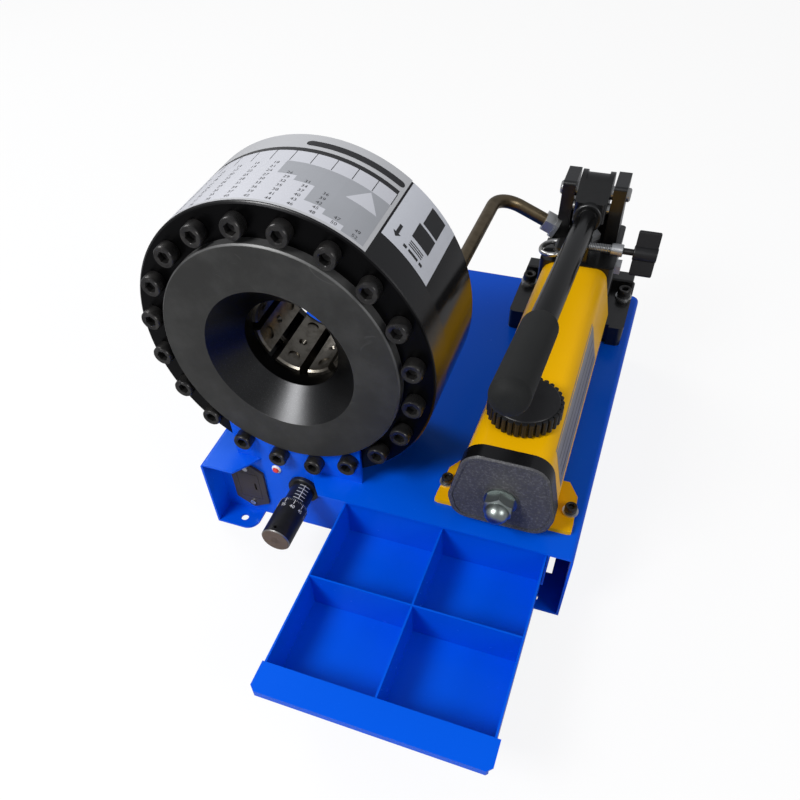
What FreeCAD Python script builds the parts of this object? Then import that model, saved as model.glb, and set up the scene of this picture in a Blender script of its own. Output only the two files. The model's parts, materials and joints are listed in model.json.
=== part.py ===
"""Bench hose crimping machine: a ring-shaped hydraulic head with eight sliding master dies,
fed by a lever hand pump, on a folded sheet base with a fitting drawer.

Frame: origin at the centre of the four bench bolt holes, on the underside of the base.
+X runs to the pump side, +Y to the back, +Z up. Lengths are in millimetres.
"""
import FreeCAD, Part
import math
import os

from FreeCAD import Vector

# Sheet base
BASE_W = 332.0
BASE_D = 362.0
BASE_H = 81.0
SHEET = 2.0
BEND_R = 4.0
CORNER_R = 8.0
TAB_LEN = 38.0
TAB_REACH = 40.0
TAB_ROUND = 12.0
FLANGE = 14.0
BENCH_HOLE_R = 3.8
BENCH_INSET_X = 24.0
BENCH_INSET_Y = 11.0
NOTCH_LEFT = 32.0
NOTCH_RIGHT = 116.0
NOTCH_RUN = 18.0

# Upright front panel that also carries the head
PANEL_SETBACK = 23.6
PANEL_T = 3.0
PANEL_END = 136.5
BRACKET_LEFT = 27.0
BRACKET_RIGHT = 146.8
BRACKET_TOP = 52.0

# Crimping head
HEAD_FROM_LEFT = 89.2
HEAD_R = 120.0
HEAD_LEN = 96.0
COVER_T = 27.5
BOSS_R = 95.8
BOSS_PROUD = 8.6
MOUTH_R = 60.7
THROAT_R = 38.9
CONE_DEPTH = 23.2
POCKET_IN_R = 80.0
POCKET_DEPTH = 16.0
PISTON_R = 96.0
LIP_R = 91.9
LIP_WALL = 5.9
CONE_ANGLE = 20.0
STROKE = 20.0
CONE_LEN = 34.0
REAR_WALL = 14.0
SLEEVE_R = 68.0
SLEEVE_BORE_R = 60.0
SLEEVE_FLANGE_R = 84.0
SLEEVE_FLANGE_T = 5.0
SLEEVE_FRONT = 46.0
SLEEVE_LIP_R = 40.0
RUN_FIT = 0.08
SLIDE_GAP = 0.3
STOP_GAP = 0.5
BOLT_PCD_R = 106.3
BOLT_COUNT = 20
BRACKET_BOLT_IDS = (13, 14, 15, 16)
M8_R = 4.0
M8_HEAD_R = 6.5
M8_HEAD_H = 8.0
M8_HEX = 6.0
M6_R = 3.0
M6_HEAD_R = 5.0
M6_HEAD_H = 6.0
M6_HEX = 5.0
WASHER_T = 1.6
WASHER_RIM = 1.5
WELD_NUT_T = 3.0
M10_R = 5.0
M10_HEAD_R = 8.0
M10_HEAD_H = 10.0
M10_LEN = 46.0
M10_HEX = 8.0
PORT_R_FROM_AXIS = 91.0
PORT_ANGLE = -3.5
SEAL_W = 4.0
SEAL_FROM_BACK = 5.5
STRIKER_R = 2.2
STRIKER_BACK = 19.0
STRIKER_SIDE = 8.0

# Master dies
DIE_COUNT = 8
DIE_OPEN_R = 35.0
DIE_FOOT_R = 59.5
DIE_END = 88.0
DIE_EDGE = 1.5
DIE_HOLE_R = 5.0
DIE_HOLE_DEEP = 1.2
DIE_HOLES = (11.9, 51.7)
DIE_DIMPLE_R = 3.4
DIE_DIMPLE_DEEP = 2.6
DIE_DIMPLE = 30.3
DIE_SIDE_GAP = 1.0
DIE_WEDGE_END = 45.5
SPRING_R = 2.8
SPRING_SEAT = 5.0
SPRING_AT_R = 46.0
SPRING_PLACES = (36.5, 66.0)

# Micrometer, battery box and indicator lamp on the front panel
DIAL_Z = 54.7
DIAL_FLANGE_R = 14.5
DIAL_FLANGE_T = 4.0
SLEEVE_DIAL_R = 10.9
SLEEVE_DIAL_LEN = 34.0
THIMBLE_R = 13.2
THIMBLE_LEN = 41.0
THIMBLE_REVEAL = 18.0
SPINDLE_R = 4.0
SPINDLE_REACH = 17.0
SPINDLE_NECK_R = 2.0
SPINDLE_NECK_LEN = 5.0
BATTERY_LEFT = 14.5
BATTERY_W = 34.2
BATTERY_LOW = 10.0
BATTERY_H = 61.0
BATTERY_POINT = 10.0
BATTERY_T = 2.5
BATTERY_SCREW_GAP = 47.0
CASE_HALF_W = 13.2
CASE_HALF_H = 18.7
CASE_WALL = 2.0
CASE_LEN = 52.0
CASE_END_T = 1.5
LAMP_FROM_LEFT = 63.8
LAMP_Z = 71.5

# Drawer, shown pulled out
DRAWER_LEFT = 138.6
DRAWER_RIGHT = 311.4
DRAWER_DROP = 5.5
DRAWER_H = 39.0
DRAWER_SHEET = 1.5
DRAWER_TRAVEL = 157.0
DRAWER_LIP = 22.6
DRAWER_LIP_TURN = 7.0
DRAWER_CROSS = 82.0
DRAWER_INSIDE = 5.0
DRAWER_TAIL = 45.0
RAIL_T = 1.5
RAIL_FLANGE = 9.0

# Hand pump
PUMP_FROM_LEFT = 268.0
PUMP_AXIS_Z = 38.0
RES_FRONT = 24.0
RES_BOTTOM_W = 82.0
RES_TOP_W = 60.0
RES_LOW = 8.0
RES_HIGH = 78.0
RES_TAPER = 4.0
RES_WALL = 3.5
CAP_FRONT = 10.0
CAP_T = 14.0
CAP_PROUD = 1.5
CAP_EDGE = 1.5
CAP_CORNER_R = 18.0
DISH_INSET = 3.5
DISH_DEEP = 0.8
TIE_ROD_R = 6.0
TIE_ROD_PROUD = 9.0
TIE_ROD_GRIP = 18.0
FOOT_W = 113.0
FOOT_T = 4.0
FOOT_FRONT = 23.5
FOOT_LEN = 52.5
FOOT_SLOT = 21.0
NUT_AF = 21.0
NUT_H = 10.0
NUT_WASHER_R = 13.0
NUT_WASHER_T = 2.0
PUMP_INSET = 7.0
HEAD_BLOCK_LEN = 80.0
HEAD_BLOCK_W = 68.0
HEAD_BLOCK_H = 78.0
HEAD_FOOT_W = 112.0
HEAD_FOOT_LEN = 84.0
HEAD_FOOT_H = 20.0
EAR_GAP = 34.0
EAR_T = 11.5
EAR_ROOT = 0.8
EAR_W = 33.0
EAR_INSET = 4.0
EAR_WEB_T = 6.0
EAR_WEB_RISE = 22.0
EAR_RISE = 54.0
PIVOT_INSET = 20.5
PIVOT_RISE = 40.5
PIVOT_R = 6.0
LINK_PIN_R = 4.0
LINK_DY = -14.0
LINK_DZ = -8.75
LEVER_ANGLE = 10.1
LEVER_SWING = 60.0
TUBE_R = 10.0
TUBE_WALL = 2.0
GRIP_R = 13.5
GRIP_ROUND = 10.0
GRIP_LEN = 104.0
LEVER_END = -25.0
LEVER_END_RISE = 89.5
YOKE_W = 29.0
YOKE_FRONT = 27.5
YOKE_EYE_R = 17.5
YOKE_RIDGE_W = 4.5
YOKE_DIP = 2.0
YOKE_SOCKET_WALL = 2.8
PLUNGER_R = 8.0
TONGUE_T = 9.0
TONGUE_LEN = 23.5
FILLER_Y = 66.0
FILLER_R = 28.5
FILLER_H = 13.5
FILLER_RIBS = 32
FILLER_RIB_R = 2.0
FILLER_NECK = 1.5
VALVE_INSET = 66.0
VALVE_RISE = 12.0
VALVE_BOSS_HALF = 10.0
VALVE_BOSS_RISE = 6.0
BAIL_R = 2.2
BAIL_SIDE = 19.0
BAIL_RISE = 6.0
BAIL_HALF = 12.0
BAIL_REACH = 17.0
BAIL_DROOP = 9.0

# Pressure pipe between pump and head
PIPE_R = 6.0
PIPE_BORE_R = 4.0
PIPE_BEND = 26.0
SPOT_FACE_R = 13.2
OUTLET_INSET = 30.0
OUTLET_RISE = 6.0
FITTING_HEX = 22.0
FITTING_HEX_LEN = 4.0
FITTING_LEN = 10.0
FITTING_R = 7.4
STUD_R = 6.9
UNION_HEX = 18.0
UNION_LEN = 9.5

# Positions worked out in the part's frame
LEFT = -BASE_W / 2
FRONT = -BASE_D / 2
TOP = BASE_H
PANEL_Y = FRONT + PANEL_SETBACK
RING_Y = PANEL_Y + PANEL_T
HEAD_X = LEFT + HEAD_FROM_LEFT
HEAD_Z = TOP + SLIDE_GAP + HEAD_R
PUMP_X = LEFT + PUMP_FROM_LEFT
HEAD_BACK = BASE_D - PUMP_INSET
HEAD_FRONT = HEAD_BACK - HEAD_BLOCK_LEN
EAR_BACK = HEAD_BACK - EAR_INSET
EAR_FRONT = EAR_BACK - EAR_W
PIVOT_Y = HEAD_BACK - PIVOT_INSET
VALVE_Y = HEAD_BACK - VALVE_INSET
PIVOT_Z = HEAD_BLOCK_H + PIVOT_RISE
EAR_TOP = HEAD_BLOCK_H + EAR_RISE
EAR_WEB_TOP = HEAD_BLOCK_H + EAR_WEB_RISE
LEVER_END_Z = HEAD_BLOCK_H + LEVER_END_RISE
VALVE_Z = HEAD_BLOCK_H + VALVE_RISE
BAIL_Z = HEAD_BLOCK_H + BAIL_RISE
OUTLET_Z = HEAD_BLOCK_H + OUTLET_RISE
PISTON_LIP = COVER_T - POCKET_DEPTH + STROKE + STOP_GAP
PISTON_BACK = HEAD_LEN - REAR_WALL - STOP_GAP
SLOPE = math.tan(math.radians(CONE_ANGLE))
CLOSING = STROKE * SLOPE


def v(x, y, z):
    """A point or direction."""
    return Vector(x, y, z)


def box(x0, x1, y0, y1, z0, z1):
    """A block between two corners."""
    return Part.makeBox(x1 - x0, y1 - y0, z1 - z0, v(x0, y0, z0))


def rod(r, start, direction, length):
    """A round bar from a start point along a direction."""
    return Part.makeCylinder(r, length, start, direction)


def polygon(points):
    """A flat face through 3-D points."""
    return Part.Face(Part.makePolygon(points + [points[0]]))


def prism_y(outline, y0, y1):
    """Extrudes an outline of (x, z) points from y0 to y1."""
    face = polygon([v(x, y0, z) for x, z in outline])
    return face.extrude(v(0, y1 - y0, 0))


def prism_x(outline, x0, x1):
    """Extrudes an outline of (y, z) points from x0 to x1."""
    face = polygon([v(x0, y, z) for y, z in outline])
    return face.extrude(v(x1 - x0, 0, 0))


def prism_z(outline, z0, z1):
    """Extrudes an outline of (x, y) points from z0 to z1."""
    face = polygon([v(x, y, z0) for x, y in outline])
    return face.extrude(v(0, 0, z1 - z0))


def turned(profile, x, z, y0=0.0, sweep=360.0):
    """Turns (radius, y) points about the line parallel to Y through (x, z)."""
    face = polygon([v(x + r, y0 + y, z) for r, y in profile])
    return face.revolve(v(x, 0, z), v(0, 1, 0), sweep)


def head_turned(profile):
    """Turns (radius, depth behind the ring face) points about the head's axis."""
    return turned(profile, HEAD_X, HEAD_Z, RING_Y)


def fuse(*shapes):
    """One clean solid from several."""
    first = shapes[0]
    return first.multiFuse(list(shapes[1:])).removeSplitter()


def cut(shape, *tools):
    """Takes tools away from a shape."""
    return shape.cut(list(tools)).removeSplitter()


def soften(shape, radius, wanted):
    """Rounds the edges of a shape that the test picks."""
    edges = [e for e in shape.Edges if wanted(e)]
    return shape.makeFillet(radius, edges) if edges else shape


def parallel(edge, axis):
    """True for a straight edge along an axis given as 0, 1 or 2."""
    if edge.Curve.TypeId != "Part::GeomLine":
        return False
    a, b = edge.Vertexes[0].Point, edge.Vertexes[-1].Point
    return all(abs(a[i] - b[i]) < 1e-6 for i in range(3) if i != axis)


def hexagon(across_flats, centre, direction, length, turn=0.0):
    """A hexagonal bar, such as a nut's body, along a direction."""
    r = across_flats / math.sqrt(3)
    pts = [v(r * math.cos(math.radians(60 * i + turn)), r * math.sin(math.radians(60 * i + turn)), 0)
           for i in range(6)]
    bar = polygon(pts).extrude(v(0, 0, length))
    bar.Placement = FreeCAD.Placement(centre, FreeCAD.Rotation(v(0, 0, 1), direction))
    return bar


def cap_screw(seat, direction, shank_r, length, head_r, head_h, hex_af):
    """A socket head screw: seat is the point under its head, direction runs into the work."""
    back = direction * -1
    head = rod(head_r, seat, back, head_h)
    socket = hexagon(hex_af, seat + back * (head_h * 0.45), back, head_h)
    return fuse(head.cut(socket), rod(shank_r, seat, direction, length))


def bolt_points(ids):
    """Centres, in the head's plane, of the numbered bolts on the ring's pitch circle."""
    out = []
    for i in ids:
        a = math.radians(9 + 360.0 / BOLT_COUNT * i)
        out.append((HEAD_X + BOLT_PCD_R * math.cos(a), HEAD_Z + BOLT_PCD_R * math.sin(a)))
    return out


# Sheet base

def bench_holes():
    """Centres of the four bench bolt holes."""
    x = BASE_W / 2 - BENCH_INSET_X
    y = BASE_D / 2 - BENCH_INSET_Y
    return [(sx * x, sy * y) for sx in (-1, 1) for sy in (-1, 1)]


def base_cover():
    """Folded cover: top, two sides and back, with inward tabs at the bottom corners."""
    half = BASE_W / 2
    outer = box(-half, half, FRONT, -FRONT, 0, TOP)
    outer = soften(outer, CORNER_R, lambda e: parallel(e, 2) and e.CenterOfMass.y > 0)
    outer = soften(outer, BEND_R, lambda e: e.CenterOfMass.z > TOP - 0.01 and e.CenterOfMass.y > FRONT + 0.01)
    inner = box(-half + SHEET, half - SHEET, FRONT - 1, -FRONT - SHEET, SHEET, TOP - SHEET)
    inner = soften(inner, CORNER_R - SHEET, lambda e: parallel(e, 2) and e.CenterOfMass.y > 0)
    rim = box(-half + FLANGE, half - FLANGE, FRONT - 1, -FRONT - FLANGE, -1, SHEET + 1)
    shell = cut(outer, inner, rim)
    for sx in (-1, 1):
        shell = fuse(shell, corner_tab(sx, -1), corner_tab(sx, 1))
    holes = [rod(BENCH_HOLE_R, v(x, y, -1), v(0, 0, 1), SHEET + 2) for x, y in bench_holes()]
    holes += [rod(screw_size(i)[0] + 0.3, v(x, y, TOP - SHEET - 1), v(0, 0, 1), SHEET + 2)
              for i, (x, y, z) in enumerate(mounting_points())]
    notch = prism_z([(LEFT + NOTCH_LEFT, FRONT - 1), (LEFT + NOTCH_LEFT + NOTCH_RUN, PANEL_Y),
                     (LEFT + NOTCH_RIGHT - NOTCH_RUN, PANEL_Y), (LEFT + NOTCH_RIGHT, FRONT - 1)],
                    TOP - SHEET - 1, TOP + 1)
    slot = box(LEFT + BRACKET_LEFT - SLIDE_GAP, LEFT + BRACKET_RIGHT + SLIDE_GAP,
               PANEL_Y, RING_Y, TOP - SHEET - 1, TOP + 1)
    striker = striker_slot(TOP - SHEET - 1, TOP + 1)
    return cut(shell, notch, slot, striker, *holes)


def striker_slot(z0, z1):
    """Clearance for the striker pin over its whole stroke."""
    r = STRIKER_R + STOP_GAP
    x, y, z = striker_point()
    return box(x - r, x + r, y - STROKE - r, y + r, z0, z1)


def striker_point():
    """Where the striker pin leaves the piston."""
    x = HEAD_X + STRIKER_SIDE
    return x, RING_Y + PISTON_LIP + STRIKER_BACK, HEAD_Z - math.sqrt(LIP_R ** 2 - STRIKER_SIDE ** 2)


def corner_tab(sx, sy):
    """One foot tab with a rounded inner corner."""
    x0 = sx * (BASE_W / 2 - SHEET)
    y0 = sy * (BASE_D / 2 - (SHEET if sy > 0 else 0))
    x1 = x0 - sx * TAB_LEN
    y1 = y0 - sy * TAB_REACH
    tab = box(min(x0, x1), max(x0, x1), min(y0, y1), max(y0, y1), 0, SHEET)
    return soften(tab, TAB_ROUND, lambda e: parallel(e, 2) and abs(e.CenterOfMass.x - x1) < 0.1)


def front_panel():
    """Upright plate: it closes the front beside the drawer and rises to hold the head's ring."""
    low = box(LEFT + SHEET, LEFT + PANEL_END, PANEL_Y, RING_Y, SHEET, TOP - SHEET)
    high = box(LEFT + BRACKET_LEFT, LEFT + BRACKET_RIGHT, PANEL_Y, RING_Y, TOP - SHEET, TOP + BRACKET_TOP)
    plate = fuse(low, high)
    side = -y_dir()
    tools = [rod(BOSS_R + SLIDE_GAP, v(HEAD_X, RING_Y + 1, HEAD_Z), side, PANEL_T + 2)]
    tools += [rod(M10_R + SLIDE_GAP, v(x, RING_Y + 1, z), side, PANEL_T + 2)
              for x, z in bolt_points(BRACKET_BOLT_IDS)]
    tools.append(rod(SLEEVE_DIAL_R * 0.75, v(HEAD_X, RING_Y + 1, DIAL_Z), side, PANEL_T + 2))
    tools.append(rod(3.1, v(LEFT + LAMP_FROM_LEFT, RING_Y + 1, LAMP_Z), side, PANEL_T + 2))
    bx, bz = battery_centre()
    tools.append(box(bx - 13.5, bx + 13.5, PANEL_Y - 1, RING_Y + 1, bz - 19, bz + 19))
    tools += [rod(1.6, v(x, RING_Y + 1, z), side, PANEL_T + 2) for x, z in battery_screw_points()]
    return cut(plate, *tools)


def y_dir():
    """Unit step towards the back."""
    return v(0, 1, 0)


# Battery box and lamp

def battery_centre():
    """Centre of the battery box on the panel."""
    return LEFT + BATTERY_LEFT + BATTERY_W / 2, BATTERY_LOW + BATTERY_H / 2


def battery_screw_points():
    """The box's two fixing screws."""
    bx, bz = battery_centre()
    return [(bx, bz - BATTERY_SCREW_GAP / 2), (bx, bz + BATTERY_SCREW_GAP / 2)]


def battery_housing():
    """Pointed-end flange with the open case behind it."""
    bx, bz = battery_centre()
    w, h = BATTERY_W / 2, BATTERY_H / 2
    flange = prism_y([(bx - w, bz - h + BATTERY_POINT), (bx, bz - h), (bx + w, bz - h + BATTERY_POINT),
                      (bx + w, bz + h - BATTERY_POINT), (bx, bz + h), (bx - w, bz + h - BATTERY_POINT)],
                     PANEL_Y - BATTERY_T, PANEL_Y)
    case = box(bx - CASE_HALF_W, bx + CASE_HALF_W, PANEL_Y - 0.5, RING_Y + CASE_LEN, bz - CASE_HALF_H,
               bz + CASE_HALF_H)
    cw, ch = CASE_HALF_W - CASE_WALL, CASE_HALF_H - CASE_WALL
    hollow = box(bx - cw, bx + cw, PANEL_Y - BATTERY_T - 1.5, RING_Y + CASE_LEN - CASE_END_T,
                 bz - ch, bz + ch)
    holes = [rod(1.6, v(x, PANEL_Y + 1, z), -y_dir(), BATTERY_T + 2) for x, z in battery_screw_points()]
    return cut(fuse(flange, case), hollow, *holes)


def battery_tray():
    """Slide-out tray: front plate with a coin slot, floor and back stop."""
    bx, bz = battery_centre()
    y0 = PANEL_Y - BATTERY_T
    front = box(bx - 10.9, bx + 10.9, y0, y0 + 2.5, bz - 16.4, bz + 16.4)
    front = front.cut(box(bx + 5.5, bx + 7.7, y0 - 1, y0 + 1.5, bz - 4.5, bz + 4.5))
    floor = box(bx - 10.9, bx - 9.4, y0, RING_Y + 48, bz - 16.4, bz + 16.4)
    stop = box(bx - 10.9, bx + 10.9, RING_Y + 46.5, RING_Y + 48, bz - 16.4, bz + 16.4)
    return fuse(front, floor, stop)


def battery():
    """Block battery lying in the tray."""
    bx, bz = battery_centre()
    y0 = PANEL_Y - BATTERY_T + 2.5
    return soften(box(bx - 9.4, bx + 7.6, y0, RING_Y + 46.5, bz - 13, bz + 13), 1.5,
                  lambda e: parallel(e, 1))


def battery_screws():
    """Two pan head screws."""
    out = []
    for x, z in battery_screw_points():
        seat = v(x, PANEL_Y - BATTERY_T, z)
        head = rod(2.7, seat, -y_dir(), 1.4)
        out.append(fuse(head, rod(1.5, seat, y_dir(), BATTERY_T + PANEL_T + 2)))
    return Part.makeCompound(out)


def lamp_bezel():
    """Turned collar of the indicator lamp."""
    profile = [(1.9, -1.6), (3.6, -1.6), (4.6, -0.6), (4.6, 0), (3.0, 0), (3.0, PANEL_T + 5),
               (1.9, PANEL_T + 5)]
    return turned(profile, LEFT + LAMP_FROM_LEFT, LAMP_Z, PANEL_Y)


def lamp_lens():
    """Domed red lens."""
    x = LEFT + LAMP_FROM_LEFT
    body = rod(1.85, v(x, PANEL_Y - 1.2, LAMP_Z), y_dir(), PANEL_T + 4)
    dome = Part.makeSphere(1.85, v(x, PANEL_Y - 1.2, LAMP_Z))
    return fuse(body, dome)


# Micrometer stop

def micrometer_sleeve():
    """Flange, graduated sleeve and the threaded neck through the panel."""
    n = SLEEVE_DIAL_R * 0.75 - 0.1
    profile = [(SPINDLE_R + RUN_FIT, -SLEEVE_DIAL_LEN), (SLEEVE_DIAL_R - 0.8, -SLEEVE_DIAL_LEN),
               (SLEEVE_DIAL_R, -SLEEVE_DIAL_LEN + 0.8), (SLEEVE_DIAL_R, -DIAL_FLANGE_T),
               (DIAL_FLANGE_R - 0.8, -DIAL_FLANGE_T), (DIAL_FLANGE_R, -DIAL_FLANGE_T + 0.8),
               (DIAL_FLANGE_R, 0), (n, 0), (n, PANEL_T + 6), (SPINDLE_R + RUN_FIT, PANEL_T + 6)]
    return turned(profile, HEAD_X, DIAL_Z, PANEL_Y)


def micrometer_nut():
    """Hexagonal lock nut behind the panel."""
    nut = hexagon(20.0, v(HEAD_X, RING_Y, DIAL_Z), y_dir(), 5.0)
    return nut.cut(rod(SLEEVE_DIAL_R * 0.75 - 0.05, v(HEAD_X, RING_Y - 1, DIAL_Z), y_dir(), 8))


def micrometer_thimble():
    """Knurled thimble: a cup over the sleeve, closed at its outer end."""
    y1 = -DIAL_FLANGE_T - THIMBLE_REVEAL
    y0 = y1 - THIMBLE_LEN
    inner = SLEEVE_DIAL_R + 0.35
    profile = [(SPINDLE_R + 0.01, y0), (THIMBLE_R - 1, y0), (THIMBLE_R, y0 + 1), (THIMBLE_R, y1 - 2.5),
               (THIMBLE_R - 1.3, y1), (inner, y1), (inner, y0 + 10), (SPINDLE_R + 0.01, y0 + 10)]
    cup = turned(profile, HEAD_X, DIAL_Z, PANEL_Y)
    grub = rod(1.5, v(HEAD_X, PANEL_Y + y0 + 5, DIAL_Z + 5), v(0, 0, 1), THIMBLE_R)
    return cut(cup, grub)


def micrometer_spindle():
    """Ground spindle through the sleeve, with the switch foot at its tip."""
    y0 = PANEL_Y - DIAL_FLANGE_T - THIMBLE_REVEAL - THIMBLE_LEN
    tip = RING_Y + SPINDLE_REACH
    neck = rod(SPINDLE_NECK_R, v(HEAD_X, tip - 1, DIAL_Z), y_dir(), SPINDLE_NECK_LEN + 1)
    return fuse(rod(SPINDLE_R, v(HEAD_X, y0, DIAL_Z), y_dir(), tip - y0), neck)


def limit_switch():
    """Small snap switch clamped on the spindle's tip, beside the striker's path."""
    y0 = RING_Y + SPINDLE_REACH + SLIDE_GAP
    side = HEAD_X + STRIKER_SIDE - STRIKER_R - 1.2
    body = box(side - 18, side - 1.0, y0, y0 + 8, DIAL_Z - 8, DIAL_Z + 8)
    body = soften(body, 1.0, lambda e: parallel(e, 1))
    button = rod(1.2, v(side - 2, y0 + 4, DIAL_Z), v(1, 0, 0), 1.6)
    blade = box(side - 0.5, side, y0 + 1, y0 + 7, DIAL_Z - 7, DIAL_Z + 7)
    heel = box(side - 1.5, side, y0 + 1, y0 + 7, DIAL_Z - 8, DIAL_Z - 6.5)
    socket = rod(SPINDLE_NECK_R + RUN_FIT, v(HEAD_X, y0 - 1, DIAL_Z), y_dir(), SPINDLE_NECK_LEN + 1.2)
    return fuse(body, button, blade, heel).cut(socket)


# Crimping head

def ring_holes(ids, depth):
    """Drill tools for the numbered ring bolts."""
    return [rod(M10_R + SLIDE_GAP, v(x, RING_Y - 1, z), y_dir(), depth + 1) for x, z in bolt_points(ids)]


def front_cover():
    """Front cover: bolted ring, raised boss with the cone mouth, and the pocket for the piston's lip."""
    throat = CONE_DEPTH - BOSS_PROUD
    floor = COVER_T - POCKET_DEPTH
    pocket_r = LIP_R + SLIDE_GAP
    profile = [(MOUTH_R, -BOSS_PROUD), (BOSS_R - 1.2, -BOSS_PROUD), (BOSS_R, -BOSS_PROUD + 1.2), (BOSS_R, 0),
               (HEAD_R - 1.5, 0), (HEAD_R, 1.5), (HEAD_R, COVER_T), (pocket_r, COVER_T), (pocket_r, floor),
               (POCKET_IN_R, floor), (POCKET_IN_R, COVER_T), (THROAT_R, COVER_T), (THROAT_R, throat)]
    return cut(head_turned(profile), *ring_holes(range(BOLT_COUNT), COVER_T + 2))


def cylinder_body():
    """Cylinder with the piston bore, rear wall, oil port, bolt threads and striker slot."""
    wall = HEAD_LEN - REAR_WALL
    recess = HEAD_LEN - SLEEVE_FLANGE_T
    bore = SLEEVE_R + 0.02
    profile = [(PISTON_R, COVER_T), (HEAD_R, COVER_T), (HEAD_R, HEAD_LEN - 1.5), (HEAD_R - 1.5, HEAD_LEN),
               (SLEEVE_FLANGE_R + 0.1, HEAD_LEN), (SLEEVE_FLANGE_R + 0.1, recess), (bore, recess),
               (bore, wall), (PISTON_R, wall)]
    px, pz = port_point()
    port = rod(3.0, v(px, RING_Y + wall - 1, pz), y_dir(), REAR_WALL + 2)
    thread = rod(6.6, v(px, RING_Y + HEAD_LEN - 9, pz), y_dir(), 10)
    slot = striker_slot(HEAD_Z - HEAD_R - 1, HEAD_Z - PISTON_R + 2)
    holes = ring_holes(range(BOLT_COUNT), M10_LEN)
    holes += [rod(4.0, v(x, RING_Y + wall + 2.5, z), y_dir(), REAR_WALL) for x, z in sleeve_bolt_points()]
    return cut(head_turned(profile), port, thread, slot, *holes)


def port_point():
    """Centre of the oil port in the rear wall."""
    a = math.radians(PORT_ANGLE)
    return HEAD_X + PORT_R_FROM_AXIS * math.cos(a), HEAD_Z + PORT_R_FROM_AXIS * math.sin(a)


def sleeve_bolt_points():
    """Eight screws that hold the rear guide sleeve."""
    r = (SLEEVE_R + SLEEVE_FLANGE_R) / 2
    out = []
    for i in range(8):
        a = math.radians(22.5 + 45 * i)
        out.append((HEAD_X + r * math.cos(a), HEAD_Z + r * math.sin(a)))
    return out


def guide_sleeve():
    """Rear sleeve that guides the piston's tail, with a lip behind the dies; its flange is let in."""
    recess = HEAD_LEN - SLEEVE_FLANGE_T
    profile = [(SLEEVE_BORE_R, SLEEVE_FRONT), (SLEEVE_R - 1.0, SLEEVE_FRONT), (SLEEVE_R, SLEEVE_FRONT + 1.0),
               (SLEEVE_R, recess), (SLEEVE_FLANGE_R, recess), (SLEEVE_FLANGE_R, HEAD_LEN),
               (SLEEVE_LIP_R + 2, HEAD_LEN), (SLEEVE_LIP_R, HEAD_LEN - 2), (SLEEVE_LIP_R, DIE_END + STOP_GAP),
               (SLEEVE_BORE_R, DIE_END + STOP_GAP)]
    holes = [rod(4.3, v(x, RING_Y + recess - 1, z), y_dir(), SLEEVE_FLANGE_T + 2)
             for x, z in sleeve_bolt_points()]
    return cut(head_turned(profile), *holes)


def sleeve_bolts():
    """Low head screws of the guide sleeve."""
    seat = RING_Y + HEAD_LEN
    return Part.makeCompound([cap_screw(v(x, seat, z), -y_dir(), 3.9, 10.5, 6.5, 4.5, 5.0)
                              for x, z in sleeve_bolt_points()])


def head_bolts(ids, seat):
    """Socket head screws of the front ring."""
    size = (M10_R, M10_LEN, M10_HEAD_R, M10_HEAD_H, M10_HEX)
    return Part.makeCompound([cap_screw(v(x, seat, z), y_dir(), *size) for x, z in bolt_points(ids)])


def piston():
    """Annular piston: cone bore that drives the dies, seal land, and tail bore over the sleeve."""
    lip, back = PISTON_LIP, PISTON_BACK
    r_lip = LIP_R - LIP_WALL
    r_end = r_lip - CONE_LEN * SLOPE
    bore = SLEEVE_R + RUN_FIT
    big = PISTON_R - RUN_FIT
    land = lip + CONE_LEN
    groove = back - SEAL_FROM_BACK
    profile = [(r_lip, lip), (LIP_R, lip), (LIP_R, land), (big, land), (big, groove), (big - SEAL_W, groove),
               (big - SEAL_W, groove + SEAL_W), (big, groove + SEAL_W), (big, back), (bore, back),
               (bore, groove + SEAL_W), (bore + SEAL_W, groove + SEAL_W), (bore + SEAL_W, groove),
               (bore, groove), (bore, land), (r_end, land)]
    x, y, z = striker_point()
    return cut(head_turned(profile), rod(STRIKER_R, v(x, y, z - 1), v(0, 0, 1), 7))


def piston_seals():
    """Outer seal ring in the bore and inner seal ring on the guide sleeve."""
    outer = seal_ring(PISTON_R - RUN_FIT - SEAL_W, PISTON_R - RUN_FIT)
    inner = seal_ring(SLEEVE_R + RUN_FIT, SLEEVE_R + RUN_FIT + SEAL_W)
    return Part.makeCompound([outer, inner])


def seal_ring(r0, r1):
    """A seal that fills its groove in the piston."""
    y0 = PISTON_BACK - SEAL_FROM_BACK
    return head_turned([(r0, y0), (r1, y0), (r1, y0 + SEAL_W), (r0, y0 + SEAL_W)])


def striker_pin():
    """Pin from the piston down into the base, where it passes the micrometer's switch."""
    x, y, z = striker_point()
    low = DIAL_Z - 9
    return rod(STRIKER_R, v(x, y, low), v(0, 0, 1), z + 6 - low)


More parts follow.
